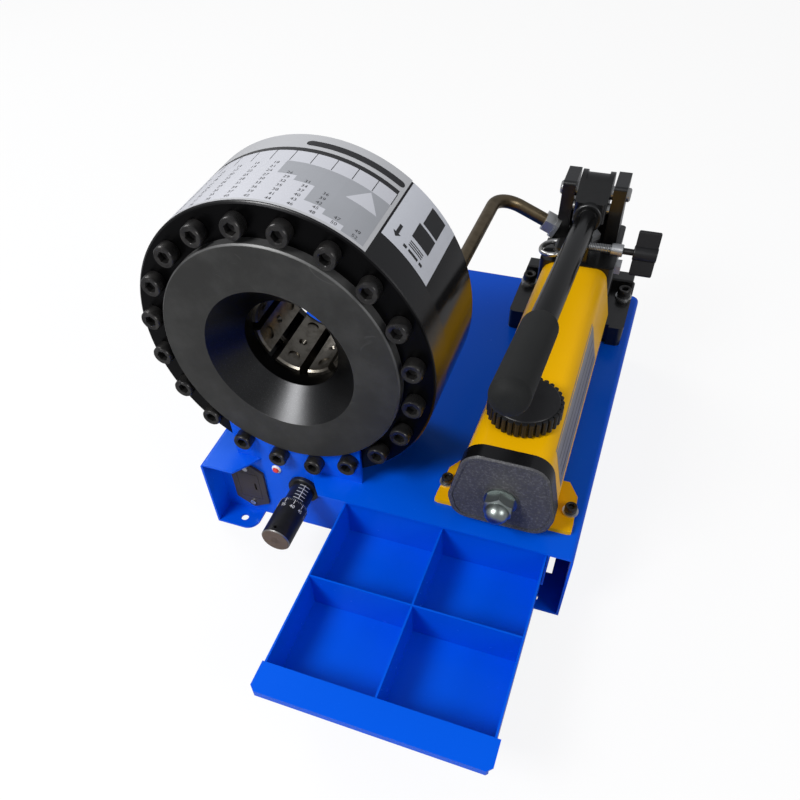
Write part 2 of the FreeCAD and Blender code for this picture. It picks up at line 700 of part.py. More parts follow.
def master_die(k):
    """One master die in the open position, with its two return springs in their pockets."""
    half = 180.0 / DIE_COUNT
    r_in = DIE_OPEN_R - CLOSING
    r_foot = DIE_FOOT_R - CLOSING
    r_lip = LIP_R - LIP_WALL - CLOSING - SLIDE_GAP

    def back(y):
        return r_lip - (y - PISTON_LIP) * SLOPE

    y0 = COVER_T + SLIDE_GAP
    profile = [(r_in + DIE_EDGE, y0), (back(y0), y0), (back(DIE_WEDGE_END), DIE_WEDGE_END),
               (r_foot, DIE_WEDGE_END), (r_foot, DIE_END), (r_in + DIE_EDGE, DIE_END),
               (r_in, DIE_END - DIE_EDGE), (r_in, y0 + DIE_EDGE)]
    blank = turned(profile, 0, 0, RING_Y, 360.0)
    reach = 130.0
    a = math.radians(half)
    g = DIE_SIDE_GAP / math.sin(a)
    wedge = prism_y([(g, 0), (g + reach * math.cos(a), reach * math.sin(a)),
                     (g + reach * math.cos(a), -reach * math.sin(a))], RING_Y, RING_Y + HEAD_LEN)
    die = blank.common(wedge)
    tools = [rod(DIE_HOLE_R, v(r_in - 3, RING_Y + y0 + y, 0), v(1, 0, 0), 3 + DIE_HOLE_DEEP)
             for y in DIE_HOLES]
    tools.append(Part.makeCone(DIE_DIMPLE_R + 0.8, 1.2, DIE_DIMPLE_DEEP + 1,
                               v(r_in - 1, RING_Y + y0 + DIE_DIMPLE, 0), v(1, 0, 0)))
    deep = SPRING_SEAT + 2 * CLOSING * math.sin(a) + 1.0
    springs = []
    for y in SPRING_PLACES:
        for side in (1, -1):
            face = v(SPRING_AT_R * math.cos(a) + g, RING_Y + y, side * SPRING_AT_R * math.sin(a))
            out = v(-math.sin(a), 0, side * math.cos(a))
            depth = SPRING_SEAT if side > 0 else deep
            tools.append(rod(SPRING_R + 0.35, face - out * depth, out, depth + 4))
            if side > 0:
                length = 2 * SPRING_SEAT + 2 * (CLOSING + g) * math.sin(a) - 0.5
                springs.append(rod(SPRING_R, face - out * depth, out, length).cut(
                    rod(SPRING_R - 1.0, face - out * (depth - 1), out, length)))
    shape = Part.makeCompound([cut(die, *tools)] + springs)
    shape.translate(v(CLOSING, 0, 0))
    shape.rotate(v(0, 0, 0), v(0, 1, 0), -die_angle(k))
    shape.translate(v(HEAD_X, 0, HEAD_Z))
    return shape


def die_angle(k):
    """Direction of die k about the head's axis, in degrees from +X towards +Z."""
    return 360.0 / DIE_COUNT * (k + 0.5)


# Drawer

def drawer_tray():
    """Folded tray: floor, two sides, back and front."""
    x0, x1 = LEFT + DRAWER_LEFT, LEFT + DRAWER_RIGHT
    z1 = TOP - DRAWER_DROP
    y1 = FRONT + DRAWER_INSIDE
    y0 = FRONT - DRAWER_TRAVEL
    s = DRAWER_SHEET
    low = z1 - DRAWER_H
    outer = box(x0, x1, y0, y1, low, z1)
    inner = box(x0 + s, x1 - s, y0 + s, y1 - s, low + s, z1 + 1)
    high = TOP - SHEET - RAIL_T - SLIDE_GAP
    end = y1 + DRAWER_TAIL
    tail = [(y1 - 1, low), (end - 4, low), (end, low + 4), (end, high - 4), (end - 4, high), (y1 + 2, high),
            (y1 - 1, z1)]
    arms = [prism_x(tail, x, x + s) for x in (x0, x1 - s)]
    return fuse(cut(outer, inner), *arms)


def drawer_lip():
    """Pull lip folded forward from the front wall, with a turned-down edge and clipped corners."""
    x0, x1 = LEFT + DRAWER_LEFT - 1.0, LEFT + DRAWER_RIGHT + 3.0
    z1 = TOP - DRAWER_DROP + DRAWER_SHEET
    y0 = FRONT - DRAWER_TRAVEL
    y1 = y0 - DRAWER_LIP
    s = DRAWER_SHEET
    outline = [(y0 + s, z1), (y1, z1), (y1, z1 - DRAWER_LIP_TURN), (y1 + s, z1 - DRAWER_LIP_TURN),
               (y1 + s, z1 - s), (y0 + s, z1 - s)]
    lip = prism_x(outline, x0, x1)
    clip = [prism_z([(x, y1 - 1), (x, y1 + 4), (x + d * 5, y1 - 1)], z1 - 20, z1 + 1)
            for x, d in ((x0, 1), (x1, -1))]
    return cut(lip, *clip)


def drawer_inner():
    """Inside limits of the tray: x0, x1, y0, y1, floor, top."""
    s = DRAWER_SHEET
    z1 = TOP - DRAWER_DROP
    return (LEFT + DRAWER_LEFT + s, LEFT + DRAWER_RIGHT - s, FRONT - DRAWER_TRAVEL + s,
            FRONT + DRAWER_INSIDE - s, z1 - DRAWER_H + s, z1)


def cross_divider():
    """Divider across the tray."""
    x0, x1, y0, y1, floor, top = drawer_inner()
    y = FRONT - DRAWER_TRAVEL + DRAWER_CROSS
    return box(x0, x1, y - DRAWER_SHEET / 2, y + DRAWER_SHEET / 2, floor, top)


def long_dividers():
    """Two plates that split the front and rear halves."""
    x0, x1, y0, y1, floor, top = drawer_inner()
    x = (x0 + x1) / 2
    s = DRAWER_SHEET / 2
    y = FRONT - DRAWER_TRAVEL + DRAWER_CROSS
    front = box(x - s, x + s, y0, y - s, floor, top)
    rear = box(x - s, x + s, y + s, y1, floor, top)
    return Part.makeCompound([front, rear])


def drawer_rails():
    """Two hanging channels that carry the tray's sides inside the base."""
    z0 = TOP - DRAWER_DROP - DRAWER_H - SLIDE_GAP
    z1 = TOP - SHEET
    y0, y1 = FRONT + 2.5, FRONT + DRAWER_TRAVEL + DRAWER_INSIDE + DRAWER_TAIL
    t, f = RAIL_T, RAIL_FLANGE
    out = []
    for x, d in ((LEFT + DRAWER_LEFT - SLIDE_GAP, -1), (LEFT + DRAWER_RIGHT + SLIDE_GAP, 1)):
        outline = [(x + d * t, z1), (x + d * t, z0 - t), (x - d * f, z0 - t), (x - d * f, z0),
                   (x, z0), (x, z1 - t), (x - d * f, z1 - t), (x - d * f, z1)]
        out.append(prism_y(outline, y0, y1))
    return Part.makeCompound(out)


# Pump

def trapezoid(bottom_w, top_w, z0, z1):
    """Corner points of the reservoir's section about the pump's centre line."""
    b, t = bottom_w / 2, top_w / 2
    return [(PUMP_X - b + 6, z0), (PUMP_X + b - 6, z0), (PUMP_X + b, z0 + 22), (PUMP_X + t, z1),
            (PUMP_X - t, z1), (PUMP_X - b, z0 + 22)]


def rounded_section(bottom_w, top_w, z0, z1, y, r):
    """A rounded closed wire of the reservoir's section at y."""
    pts = trapezoid(bottom_w, top_w, z0, z1)
    edges = []
    n = len(pts)
    ends = []
    for i in range(n):
        p = v(pts[i][0], y, pts[i][1])
        a = v(pts[i - 1][0], y, pts[i - 1][1]) - p
        b = v(pts[(i + 1) % n][0], y, pts[(i + 1) % n][1]) - p
        turn = math.acos(max(-1, min(1, a.dot(b) / a.Length / b.Length)))
        cut_back = min(r / math.tan(turn / 2), 0.45 * a.Length, 0.45 * b.Length)
        radius = cut_back * math.tan(turn / 2)
        a.normalize()
        b.normalize()
        mid = a + b
        mid.normalize()
        bulge = p + mid * (radius / math.sin(turn / 2) - radius)
        ends.append((p + a * cut_back, bulge, p + b * cut_back))
    for i in range(n):
        start, bulge, end = ends[i]
        edges.append(Part.Arc(start, bulge, end).toShape())
        edges.append(Part.LineSegment(end, ends[(i + 1) % n][0]).toShape())
    return Part.Wire(edges)


def reservoir():
    """Oil tank: a drafted, rounded tube with a filler hole and side ribs, open at both ends."""
    y0, y1 = FRONT + RES_FRONT, FRONT + HEAD_FRONT
    z0, z1 = TOP + RES_LOW, TOP + RES_HIGH
    w = RES_WALL

    def section(inset, y, shrink):
        return rounded_section(RES_BOTTOM_W - 2 * inset - shrink, RES_TOP_W - 2 * inset - shrink,
                               z0 + inset, z1 - inset - shrink / 4, y, 12 - inset)

    outer = Part.makeLoft([section(0, y0, 0), section(0, y1, RES_TAPER)], True, True)
    inner = Part.makeLoft([section(w, y0 - 1, 0), section(w, y1 + 1, RES_TAPER)], True, True)
    hole = rod(14.0, v(PUMP_X, FRONT + FILLER_Y, z1 - 10), v(0, 0, 1), 20)
    neck = rod(18.0, v(PUMP_X, FRONT + FILLER_Y, z1 - w + 0.3), v(0, 0, 1), w - 0.3 + FILLER_NECK)
    return cut(fuse(outer, neck), inner, hole)


def end_cap():
    """Moulded front cap with a shallow dished face and a boss for the tie rod nut."""
    y0, y1 = FRONT + CAP_FRONT, FRONT + CAP_FRONT + CAP_T
    z0, z1 = TOP + RES_LOW - CAP_PROUD, TOP + RES_HIGH + CAP_PROUD

    def section(inset, y):
        bottom = RES_BOTTOM_W + 2 * CAP_PROUD - 2 * inset
        top = RES_TOP_W + 2 * CAP_PROUD - 2 * inset
        return rounded_section(bottom, top, z0 + inset, z1 - inset, y, CAP_CORNER_R - inset)

    body = Part.makeLoft([section(0, y0 + CAP_EDGE), section(0, y1)], True, True)
    front = Part.makeLoft([section(CAP_EDGE, y0), section(0, y0 + CAP_EDGE)], True, True)
    dish = Part.makeLoft([section(DISH_INSET, y0 - 1), section(DISH_INSET, y0 + DISH_DEEP)], True, True)
    boss = rod(14.0, v(PUMP_X, y0, TOP + PUMP_AXIS_Z), y_dir(), 2.5)
    hole = rod(6.1, v(PUMP_X, y0 - 2, TOP + PUMP_AXIS_Z), y_dir(), CAP_T + 4)
    return cut(fuse(cut(fuse(body, front), dish), boss), hole)


def tie_rod():
    """Long rod that clamps the tank between its cap and the pump block."""
    y0 = FRONT + CAP_FRONT - TIE_ROD_PROUD
    y1 = FRONT + HEAD_FRONT + TIE_ROD_GRIP
    return rod(TIE_ROD_R, v(PUMP_X, y0, TOP + PUMP_AXIS_Z), y_dir(), y1 - y0)


def acorn_nut():
    """Domed nut and washer on the tie rod."""
    y = FRONT + CAP_FRONT
    z = TOP + PUMP_AXIS_Z
    seat = NUT_WASHER_T
    end = seat + NUT_H
    washer = rod(NUT_WASHER_R, v(PUMP_X, y - seat, z), y_dir(), seat)
    nut = hexagon(NUT_AF, v(PUMP_X, y - end, z), y_dir(), NUT_H, 30)
    wide = NUT_AF / 2 + 1.7
    round_off = turned([(0, -end), (NUT_AF / 2 - 1, -end), (wide, 1.8 - end), (wide, -seat), (0, -seat)],
                       PUMP_X, z, y)
    dome = Part.makeSphere(NUT_AF / 2 - 1.1, v(PUMP_X, y - end - 0.5, z))
    body = fuse(washer, nut.common(round_off), dome)
    return cut(body, rod(TIE_ROD_R + 0.02, v(PUMP_X, y - TIE_ROD_PROUD, z), y_dir(), NUT_H + 2))


def front_foot():
    """Flat plate under the tank's front with notched lobes for its two screws, and upturned saddle."""
    y0 = FRONT + FOOT_FRONT
    y1 = y0 + FOOT_LEN
    h = FOOT_W / 2
    lobe = FOOT_SLOT
    outline = [(-h, y0 + 1), (-h, y0 + 8), (-h + 2, y0 + 38), (-h + 11, y1), (h - 11, y1), (h - 2, y0 + 38),
               (h, y0 + 8), (h, y0 + 1), (h - 3, y0), (-h + 3, y0)]
    plate = prism_z([(PUMP_X + x, y) for x, y in outline], TOP, TOP + FOOT_T)
    slots = []
    for d in (-1, 1):
        x = PUMP_X + d * (h - 5)
        r = M6_R + 0.6
        slots.append(rod(r, v(x, y0 + lobe, TOP - 1), v(0, 0, 1), FOOT_T + 2))
        a, b = sorted((x, x + d * 12))
        slots.append(box(a, b, y0 + lobe - r, y0 + lobe + r, TOP - 1, TOP + FOOT_T + 1))
    saddle = prism_y([(PUMP_X - 36, TOP + FOOT_T), (PUMP_X + 36, TOP + FOOT_T), (PUMP_X + 34, TOP + RES_LOW),
                      (PUMP_X - 34, TOP + RES_LOW)], y0 + 2, y1 - 8)
    return cut(fuse(plate, saddle), *slots)


def mounting_points():
    """Seats of the four mounting screws: two in the front foot, two in the pump block's feet."""
    y_front = FRONT + FOOT_FRONT + FOOT_SLOT
    h = FOOT_W / 2 - 5
    k = HEAD_FOOT_W / 2 - 8
    front = [(PUMP_X + d * h, y_front, TOP + FOOT_T) for d in (-1, 1)]
    back = [(PUMP_X + d * k, FRONT + HEAD_BACK - OUTLET_INSET, TOP + HEAD_FOOT_H) for d in (-1, 1)]
    return front + back


def screw_size(i):
    """Shank radius, head radius, head height and hexagon of mounting screw i: M6 in front, M8 behind."""
    if i < 2:
        return M6_R, M6_HEAD_R, M6_HEAD_H, M6_HEX
    return M8_R, M8_HEAD_R, M8_HEAD_H, M8_HEX


def mounting_screws():
    """Four socket head screws through washers into the base's top plate."""
    out = []
    for i, (x, y, z) in enumerate(mounting_points()):
        seat = z + WASHER_T
        shank_r, head_r, head_h, hex_af = screw_size(i)
        length = seat - TOP + SHEET + WELD_NUT_T
        out.append(cap_screw(v(x, y, seat), v(0, 0, -1), shank_r, length, head_r, head_h, hex_af))
    return Part.makeCompound(out)


def mounting_washers():
    """Flat washers under the mounting screws."""
    out = []
    for i, (x, y, z) in enumerate(mounting_points()):
        shank_r, head_r, head_h, hex_af = screw_size(i)
        disc = rod(head_r + WASHER_RIM, v(x, y, z), v(0, 0, 1), WASHER_T)
        out.append(disc.cut(rod(shank_r + 0.2, v(x, y, z - 1), v(0, 0, 1), WASHER_T + 2)))
    return Part.makeCompound(out)


def weld_nuts():
    """Thin nuts welded under the base's top plate, one for each mounting screw."""
    out = []
    for i, (x, y, z) in enumerate(mounting_points()):
        shank_r = screw_size(i)[0]
        nut = hexagon(3 * shank_r + 1, v(x, y, TOP - SHEET - WELD_NUT_T), v(0, 0, 1), WELD_NUT_T)
        out.append(nut.cut(rod(shank_r + 0.02, v(x, y, TOP - 20), v(0, 0, 1), 40)))
    return Part.makeCompound(out)


def pump_block():
    """Cast pump body with side feet and the two upright ears of the lever pivot."""
    y0, y1 = FRONT + HEAD_FRONT, FRONT + HEAD_BACK
    w = HEAD_BLOCK_W / 2
    block = box(PUMP_X - w, PUMP_X + w, y0, y1, TOP, TOP + HEAD_BLOCK_H)
    block = soften(block, 4.0, lambda e: parallel(e, 2))
    f = HEAD_FOOT_W / 2
    foot = box(PUMP_X - f, PUMP_X + f, y1 - HEAD_FOOT_LEN, y1, TOP, TOP + HEAD_FOOT_H)
    foot = soften(foot, 5.0, lambda e: parallel(e, 2))
    tank = RES_BOTTOM_W / 2 + 1
    foot = foot.cut(box(PUMP_X - tank, PUMP_X + tank, y0 - 20, y0, TOP - 1, TOP + HEAD_FOOT_H + 1))
    shapes = [block, foot]
    for d in (-1, 1):
        a, b = sorted((PUMP_X + d * (w - 2), PUMP_X + d * (f - 2)))
        heel = box(a, b, y1 - 17, y1, TOP, TOP + HEAD_FOOT_H + 10)
        shapes.append(soften(heel, 2.0, lambda e: e.CenterOfMass.z > TOP + HEAD_FOOT_H + 9))
    y = FRONT + VALVE_Y
    crown = TOP + VALVE_Z + VALVE_BOSS_RISE
    valve_boss = box(PUMP_X - 13, PUMP_X + 8, y - VALVE_BOSS_HALF, y + VALVE_BOSS_HALF,
                     TOP + HEAD_BLOCK_H - 1, crown)
    shapes.append(soften(valve_boss, 3.0, lambda e: e.CenterOfMass.z > crown - 0.1))
    lug = box(PUMP_X - BAIL_SIDE - 4.5, PUMP_X - 12, FRONT + VALVE_Y - BAIL_HALF + BAIL_R + 0.8,
              FRONT + VALVE_Y + BAIL_HALF - BAIL_R - 0.8, TOP + HEAD_BLOCK_H - 1, TOP + BAIL_Z + 4.5)
    shapes.append(soften(lug, 3.0, lambda e: parallel(e, 1) and e.CenterOfMass.x < PUMP_X - 20))
    gland = rod(14.0, v(PUMP_X, plunger_y(), TOP + HEAD_BLOCK_H - 1), v(0, 0, 1), 5.0)
    shapes.append(gland)
    for d in (-1, 1):
        shapes.append(ear(d))
    side = EAR_GAP / 2 + 1
    back = FRONT + EAR_BACK
    shapes.append(box(PUMP_X - side, PUMP_X + side, back - EAR_WEB_T, back, TOP + HEAD_BLOCK_H - 4,
                      TOP + EAR_WEB_TOP))
    body = fuse(*shapes)
    return cut(body, *pump_tools())


def ear(d):
    """One upright ear, thicker at its root."""
    i = PUMP_X + d * EAR_GAP / 2
    o = i + d * EAR_T
    r = o + d * EAR_ROOT
    low = TOP + HEAD_BLOCK_H - 4
    outline = [(i, low), (r, low), (o, TOP + HEAD_BLOCK_H + 26), (o, TOP + EAR_TOP), (i, TOP + EAR_TOP)]
    bar = prism_y(outline, FRONT + EAR_FRONT, FRONT + EAR_BACK)
    return soften(bar, 3.0, lambda e: parallel(e, 0) and e.CenterOfMass.z > TOP + EAR_TOP - 1)


def plunger_y():
    """Y of the plunger's axis: midway of the link pin's small fore-and-aft swing."""
    reach = math.hypot(LINK_DY, LINK_DZ)
    return FRONT + PIVOT_Y - (reach + abs(LINK_DY)) / 2


def pump_tools():
    """Bores of the pump block: tie rod, plunger, valve stem, pivot, outlet, plug and foot screws."""
    z = TOP + PUMP_AXIS_Z
    tools = [rod(6.05, v(PUMP_X, FRONT + HEAD_FRONT - 1, z), y_dir(), 20),
             rod(PLUNGER_R + RUN_FIT, v(PUMP_X, plunger_y(), TOP + 22), v(0, 0, 1), 80),
             rod(PIVOT_R + 0.02, v(PUMP_X - 60, FRONT + PIVOT_Y, TOP + PIVOT_Z), v(1, 0, 0), 120),
             rod(4.0 + RUN_FIT, v(PUMP_X - 6, FRONT + VALVE_Y, TOP + VALVE_Z), v(1, 0, 0), 40)]
    start, direction = outlet()
    tools.append(rod(STUD_R + 0.1, start - direction * 12, direction, 40))
    tools.append(rod(SPOT_FACE_R, start, direction, 30))
    plug = plug_seat()
    tools.append(rod(4.5, plug - v(9, 0, 0), v(1, 0, 0), 12))
    for x, y, seat in mounting_points()[2:]:
        tools.append(rod(M8_R + 0.4, v(x, y, TOP - 1), v(0, 0, 1), HEAD_FOOT_H + 2))
    hinge = v(PUMP_X - BAIL_SIDE, FRONT + VALVE_Y - 20, TOP + BAIL_Z)
    tools.append(rod(BAIL_R + RUN_FIT, hinge, y_dir(), 40))
    return tools


def plug_seat():
    """Where the test plug sits, on the block's right flank."""
    return v(PUMP_X + HEAD_BLOCK_W / 2, FRONT + VALVE_Y + 16, TOP + HEAD_BLOCK_H - 14)


def relief_plug():
    """Screwed plug in the block's right flank."""
    seat = plug_seat()
    head = hexagon(13.0, seat, v(1, 0, 0), 5.0)
    return fuse(head, rod(4.4, seat - v(8, 0, 0), v(1, 0, 0), 8.5))


def plunger_gland():
    """Packing nut around the plunger."""
    z = TOP + HEAD_BLOCK_H + 4
    nut = hexagon(24.0, v(PUMP_X, plunger_y(), z), v(0, 0, 1), 4.0)
    return nut.cut(rod(PLUNGER_R + RUN_FIT, v(PUMP_X, plunger_y(), z - 1), v(0, 0, 1), 8))


def pivot_pin():
    """Lever pivot through both ears, with turned ends."""
    half = EAR_GAP / 2 + EAR_T + 3.5
    x = PUMP_X - half
    pin = rod(PIVOT_R, v(x, FRONT + PIVOT_Y, TOP + PIVOT_Z), v(1, 0, 0), 2 * half)
    return pin.makeChamfer(1.2, [e for e in pin.Edges if e.Closed])


def pump_plunger():
    """Plunger with a flat tongue, slotted for the lever's link pin."""
    y = plunger_y()
    z = TOP + PIVOT_Z + LINK_DZ
    low = TOP + 42
    slack = (math.hypot(LINK_DY, LINK_DZ) - abs(LINK_DY)) / 2 + 0.35
    shoulder = z - TONGUE_LEN
    body = rod(PLUNGER_R, v(PUMP_X, y, low), v(0, 0, 1), shoulder - low)
    tongue = box(PUMP_X - TONGUE_T / 2, PUMP_X + TONGUE_T / 2, y - 7.9, y + 7.9, shoulder - 2, z + 7.0)
    tongue = soften(tongue, 6.0, lambda e: parallel(e, 0) and e.CenterOfMass.z > z)
    tongue = tongue.common(rod(PLUNGER_R, v(PUMP_X, y, z - 40), v(0, 0, 1), 60))
    hole = [rod(LINK_PIN_R + 0.35, v(PUMP_X - 10, y + d * slack, z), v(1, 0, 0), 20) for d in (-1, 1)]
    mid = box(PUMP_X - 10, PUMP_X + 10, y - slack, y + slack, z - LINK_PIN_R - 0.35, z + LINK_PIN_R + 0.35)
    return cut(fuse(body, tongue), mid, *hole)


def lever_frame():
    """Start of the lever tube in the yoke, its direction towards the grip, and its length."""
    a = math.radians(LEVER_ANGLE)
    direction = v(0, -math.cos(a), math.sin(a))
    end = v(PUMP_X, FRONT + LEVER_END, TOP + LEVER_END_Z)
    length = (PIVOT_Y - YOKE_FRONT + 2 - LEVER_END) / math.cos(a)
    return end - direction * length, direction, length


def handle_yoke():
    """Cast yoke: a grooved eye on the pivot, a flat front face, the tube's socket and a slot below."""
    py, pz = FRONT + PIVOT_Y, TOP + PIVOT_Z
    w = YOKE_W / 2
    start, direction, length = lever_frame()
    chord = math.hypot(YOKE_FRONT, 1.5)
    lean = math.asin(YOKE_EYE_R / chord) - math.atan2(1.5, YOKE_FRONT)
    run = math.sqrt(chord ** 2 - YOKE_EYE_R ** 2)
    crest = (py - YOKE_FRONT + run * math.cos(lean), pz + 1.5 + run * math.sin(lean))
    cheek = prism_x([(py - YOKE_FRONT, pz - 17), (py - YOKE_FRONT, pz + 1.5), crest, (py, pz + 8),
                     (py + 6, pz - 10.4), (py + LINK_DY, pz - 19)], PUMP_X - w, PUMP_X + w)
    cheek = soften(cheek, 4.0, lambda e: parallel(e, 2) and e.CenterOfMass.y < py - YOKE_FRONT + 0.1)
    eye = rod(YOKE_EYE_R, v(PUMP_X - w, py, pz), v(1, 0, 0), YOKE_W)
    socket = rod(TUBE_R + YOKE_SOCKET_WALL, start - direction * 1, direction, 12)
    socket = socket.makeFillet(1.4, [e for e in socket.Edges if e.Closed and e.CenterOfMass.y < start.y - 8])
    body = fuse(cheek, eye, socket)
    inner_w = YOKE_W - 2 * YOKE_RIDGE_W
    dip = rod(YOKE_EYE_R + 1, v(PUMP_X - inner_w / 2, py, pz), v(1, 0, 0), inner_w)
    dip = dip.cut(rod(YOKE_EYE_R - YOKE_DIP, v(PUMP_X - w, py, pz), v(1, 0, 0), YOKE_W))
    dip = dip.common(box(PUMP_X - w, PUMP_X + w, py - 9, py + 30, pz - 30, pz + 30))
    slot_w = TONGUE_T / 2 + 0.6
    x0 = PUMP_X - slot_w
    gap = rod(10.2, v(x0, py + LINK_DY, pz + LINK_DZ), v(1, 0, 0), 2 * slot_w)
    below = prism_x([(py + LINK_DY - 10.2, pz + LINK_DZ), (py + LINK_DY - 10.2, pz - 30), (py + 20, pz - 30),
                     (py + 20, pz + 1.0), (py + LINK_DY + 6, pz + LINK_DZ + 8)], x0, PUMP_X + slot_w)
    tube = rod(TUBE_R + 0.05, start, direction, 40)
    pin = rod(PIVOT_R + RUN_FIT, v(PUMP_X - 30, py, pz), v(1, 0, 0), 60)
    link = rod(LINK_PIN_R + 0.02, v(PUMP_X - 30, py + LINK_DY, pz + LINK_DZ), v(1, 0, 0), 60)
    return cut(body, dip, gap, below, tube, pin, link)


def link_pin():
    """Pin between the yoke and the plunger's tongue."""
    half = EAR_GAP / 2 - 0.4
    at = v(PUMP_X - half, FRONT + PIVOT_Y + LINK_DY, TOP + PIVOT_Z + LINK_DZ)
    return rod(LINK_PIN_R, at, v(1, 0, 0), 2 * half)


def lever_tube():
    """Steel lever tube."""
    start, direction, length = lever_frame()
    return rod(TUBE_R, start, direction, length - 4).cut(
        rod(TUBE_R - TUBE_WALL, start - direction, direction, length + 4))


def lever_grip():
    """Foam grip with a rounded end over the tube."""
    start, direction, length = lever_frame()
    end = start + direction * length
    foam = rod(GRIP_R, end - direction * GRIP_LEN, direction, GRIP_LEN)
    rim = [e for e in foam.Edges if e.Closed and (e.CenterOfMass - end).Length < 1]
    foam = foam.makeFillet(GRIP_ROUND, rim)
    foam = foam.makeFillet(2.0, [e for e in foam.Edges if e.Closed and (e.CenterOfMass - end).Length > 50])
    return foam.cut(rod(TUBE_R, start, direction, length - 4))


def filler_cap():
    """Large ribbed filler cap with its threaded spigot and breather stem."""
    z = TOP + RES_HIGH + FILLER_NECK + SLIDE_GAP
    y = FRONT + FILLER_Y
    disc = rod(FILLER_R - 1.4 * FILLER_RIB_R, v(PUMP_X, y, z), v(0, 0, 1), FILLER_H)
    disc = disc.makeFillet(1.5, [e for e in disc.Edges if e.Closed and e.CenterOfMass.z > z + 1])
    ribs = []
    reach = FILLER_R - FILLER_RIB_R
    for i in range(FILLER_RIBS):
        a = 2 * math.pi * i / FILLER_RIBS
        at = v(PUMP_X + reach * math.cos(a), y + reach * math.sin(a), z)
        ribs.append(rod(FILLER_RIB_R, at, v(0, 0, 1), FILLER_H - 1.5))
    spigot = rod(13.6, v(PUMP_X, y, z - 14), v(0, 0, 1), 14.5)
    return fuse(disc, spigot, *ribs)


def valve_stem():
    """Release valve stem with its collar."""
    y, z = FRONT + VALVE_Y, TOP + VALVE_Z
    x0 = PUMP_X - 4
    stem = rod(4.0, v(x0, y, z), v(1, 0, 0), 32)
    collar = rod(5.5, v(x0 + 31, y, z), v(1, 0, 0), 11)
    neck = rod(2.8, v(x0 + 41, y, z), v(1, 0, 0), 14)
    return fuse(stem, collar, neck)


def valve_knob():
    """Wing knob on the release valve."""
    y, z = FRONT + VALVE_Y, TOP + VALVE_Z
    x0 = PUMP_X - 4 + 51
    hub = rod(6.5, v(x0, y, z), v(1, 0, 0), 21)
    hub = hub.makeFillet(1.2, [e for e in hub.Edges if e.Closed])
    wing = box(x0 + 0.5, x0 + 20.5, y - 2.5, y + 2.5, z - 19.5, z + 19.5)
    wing = soften(wing, 2.0, lambda e: parallel(e, 1) or parallel(e, 0))
    wing.rotate(v(x0, y, z), v(1, 0, 0), -20)
    return cut(fuse(hub, wing), rod(2.85, v(x0 - 1, y, z), v(1, 0, 0), 6))


def lock_bail():
    """Wire bail that swings on a lug beside the valve, its ends bent into the lug's cross hole."""
    turn = 3.5
    x, y, z = PUMP_X - BAIL_SIDE, FRONT + VALVE_Y, TOP + BAIL_Z
    far = x - BAIL_REACH + BAIL_HALF
    s = math.sqrt(0.5)
    arcs = []
    for d in (-1, 1):
        inner = v(x, y + d * 2.0, z)
        elbow = v(x, y + d * (BAIL_HALF - turn), z)
        mid = v(x - turn + turn * s, y + d * (BAIL_HALF - turn + turn * s), z)
        leg = v(x - turn, y + d * BAIL_HALF, z)
        arcs.append((inner, elbow, mid, leg))
    a, b = arcs
    tip = v(x - BAIL_REACH, y, z)
    path = Part.Wire([
        Part.LineSegment(a[0], a[1]).toShape(), Part.Arc(a[1], a[2], a[3]).toShape(),
        Part.LineSegment(a[3], v(far, a[3].y, z)).toShape(),
        Part.Arc(v(far, a[3].y, z), tip, v(far, b[3].y, z)).toShape(),
        Part.LineSegment(v(far, b[3].y, z), b[3]).toShape(), Part.Arc(b[3], b[2], b[1]).toShape(),
        Part.LineSegment(b[1], b[0]).toShape()])
    section = Part.Wire([Part.Circle(a[0], v(0, -1, 0), BAIL_R).toShape()])
    loop = path.makePipeShell([section], True, False)
    loop.rotate(v(x, y, z), v(0, 1, 0), -BAIL_DROOP)
    return loop


# Pressure pipe

def outlet():
    """Seat and direction of the pump's outlet port on the ear root."""
    direction = v(-62, -3, 27)
    direction.normalize()
    at = v(PUMP_X - EAR_GAP / 2 - EAR_T, FRONT + HEAD_BACK - OUTLET_INSET, TOP + OUTLET_Z)
    return at, direction


def pipe_points():
    """Corner points of the pipe's route."""
    start, direction = outlet()
    px, pz = port_point()
    corner = start + direction * ((px - start.x) / direction.x)
    end = v(px, RING_Y + HEAD_LEN + FITTING_LEN, pz)
    return [start + direction * FITTING_LEN, corner, v(px, end.y + 40, pz), end]


def bent_tube(points, r, bend):
    """A round bar along straight runs joined by tangent arcs."""
    edges = []
    here = points[0]
    for i in range(1, len(points) - 1):
        p = points[i]
        a = points[i - 1] - p
        b = points[i + 1] - p
        turn = math.acos(max(-1, min(1, a.dot(b) / a.Length / b.Length)))
        back = bend / math.tan(turn / 2)
        a.normalize()
        b.normalize()
        mid = a + b
        mid.normalize()
        bulge = p + mid * (bend / math.sin(turn / 2) - bend)
        edges.append(Part.LineSegment(here, p + a * back).toShape())
        edges.append(Part.Arc(p + a * back, bulge, p + b * back).toShape())
        here = p + b * back
    edges.append(Part.LineSegment(here, points[-1]).toShape())
    path = Part.Wire(edges)
    direction = points[1] - points[0]
    section = Part.Wire([Part.Circle(points[0], direction, r).toShape()])
    return path.makePipeShell([section], True, False)


def pressure_pipe():
    """Steel pipe from the pump to the head's rear port."""
    return bent_tube(pipe_points(), PIPE_R, PIPE_BEND)


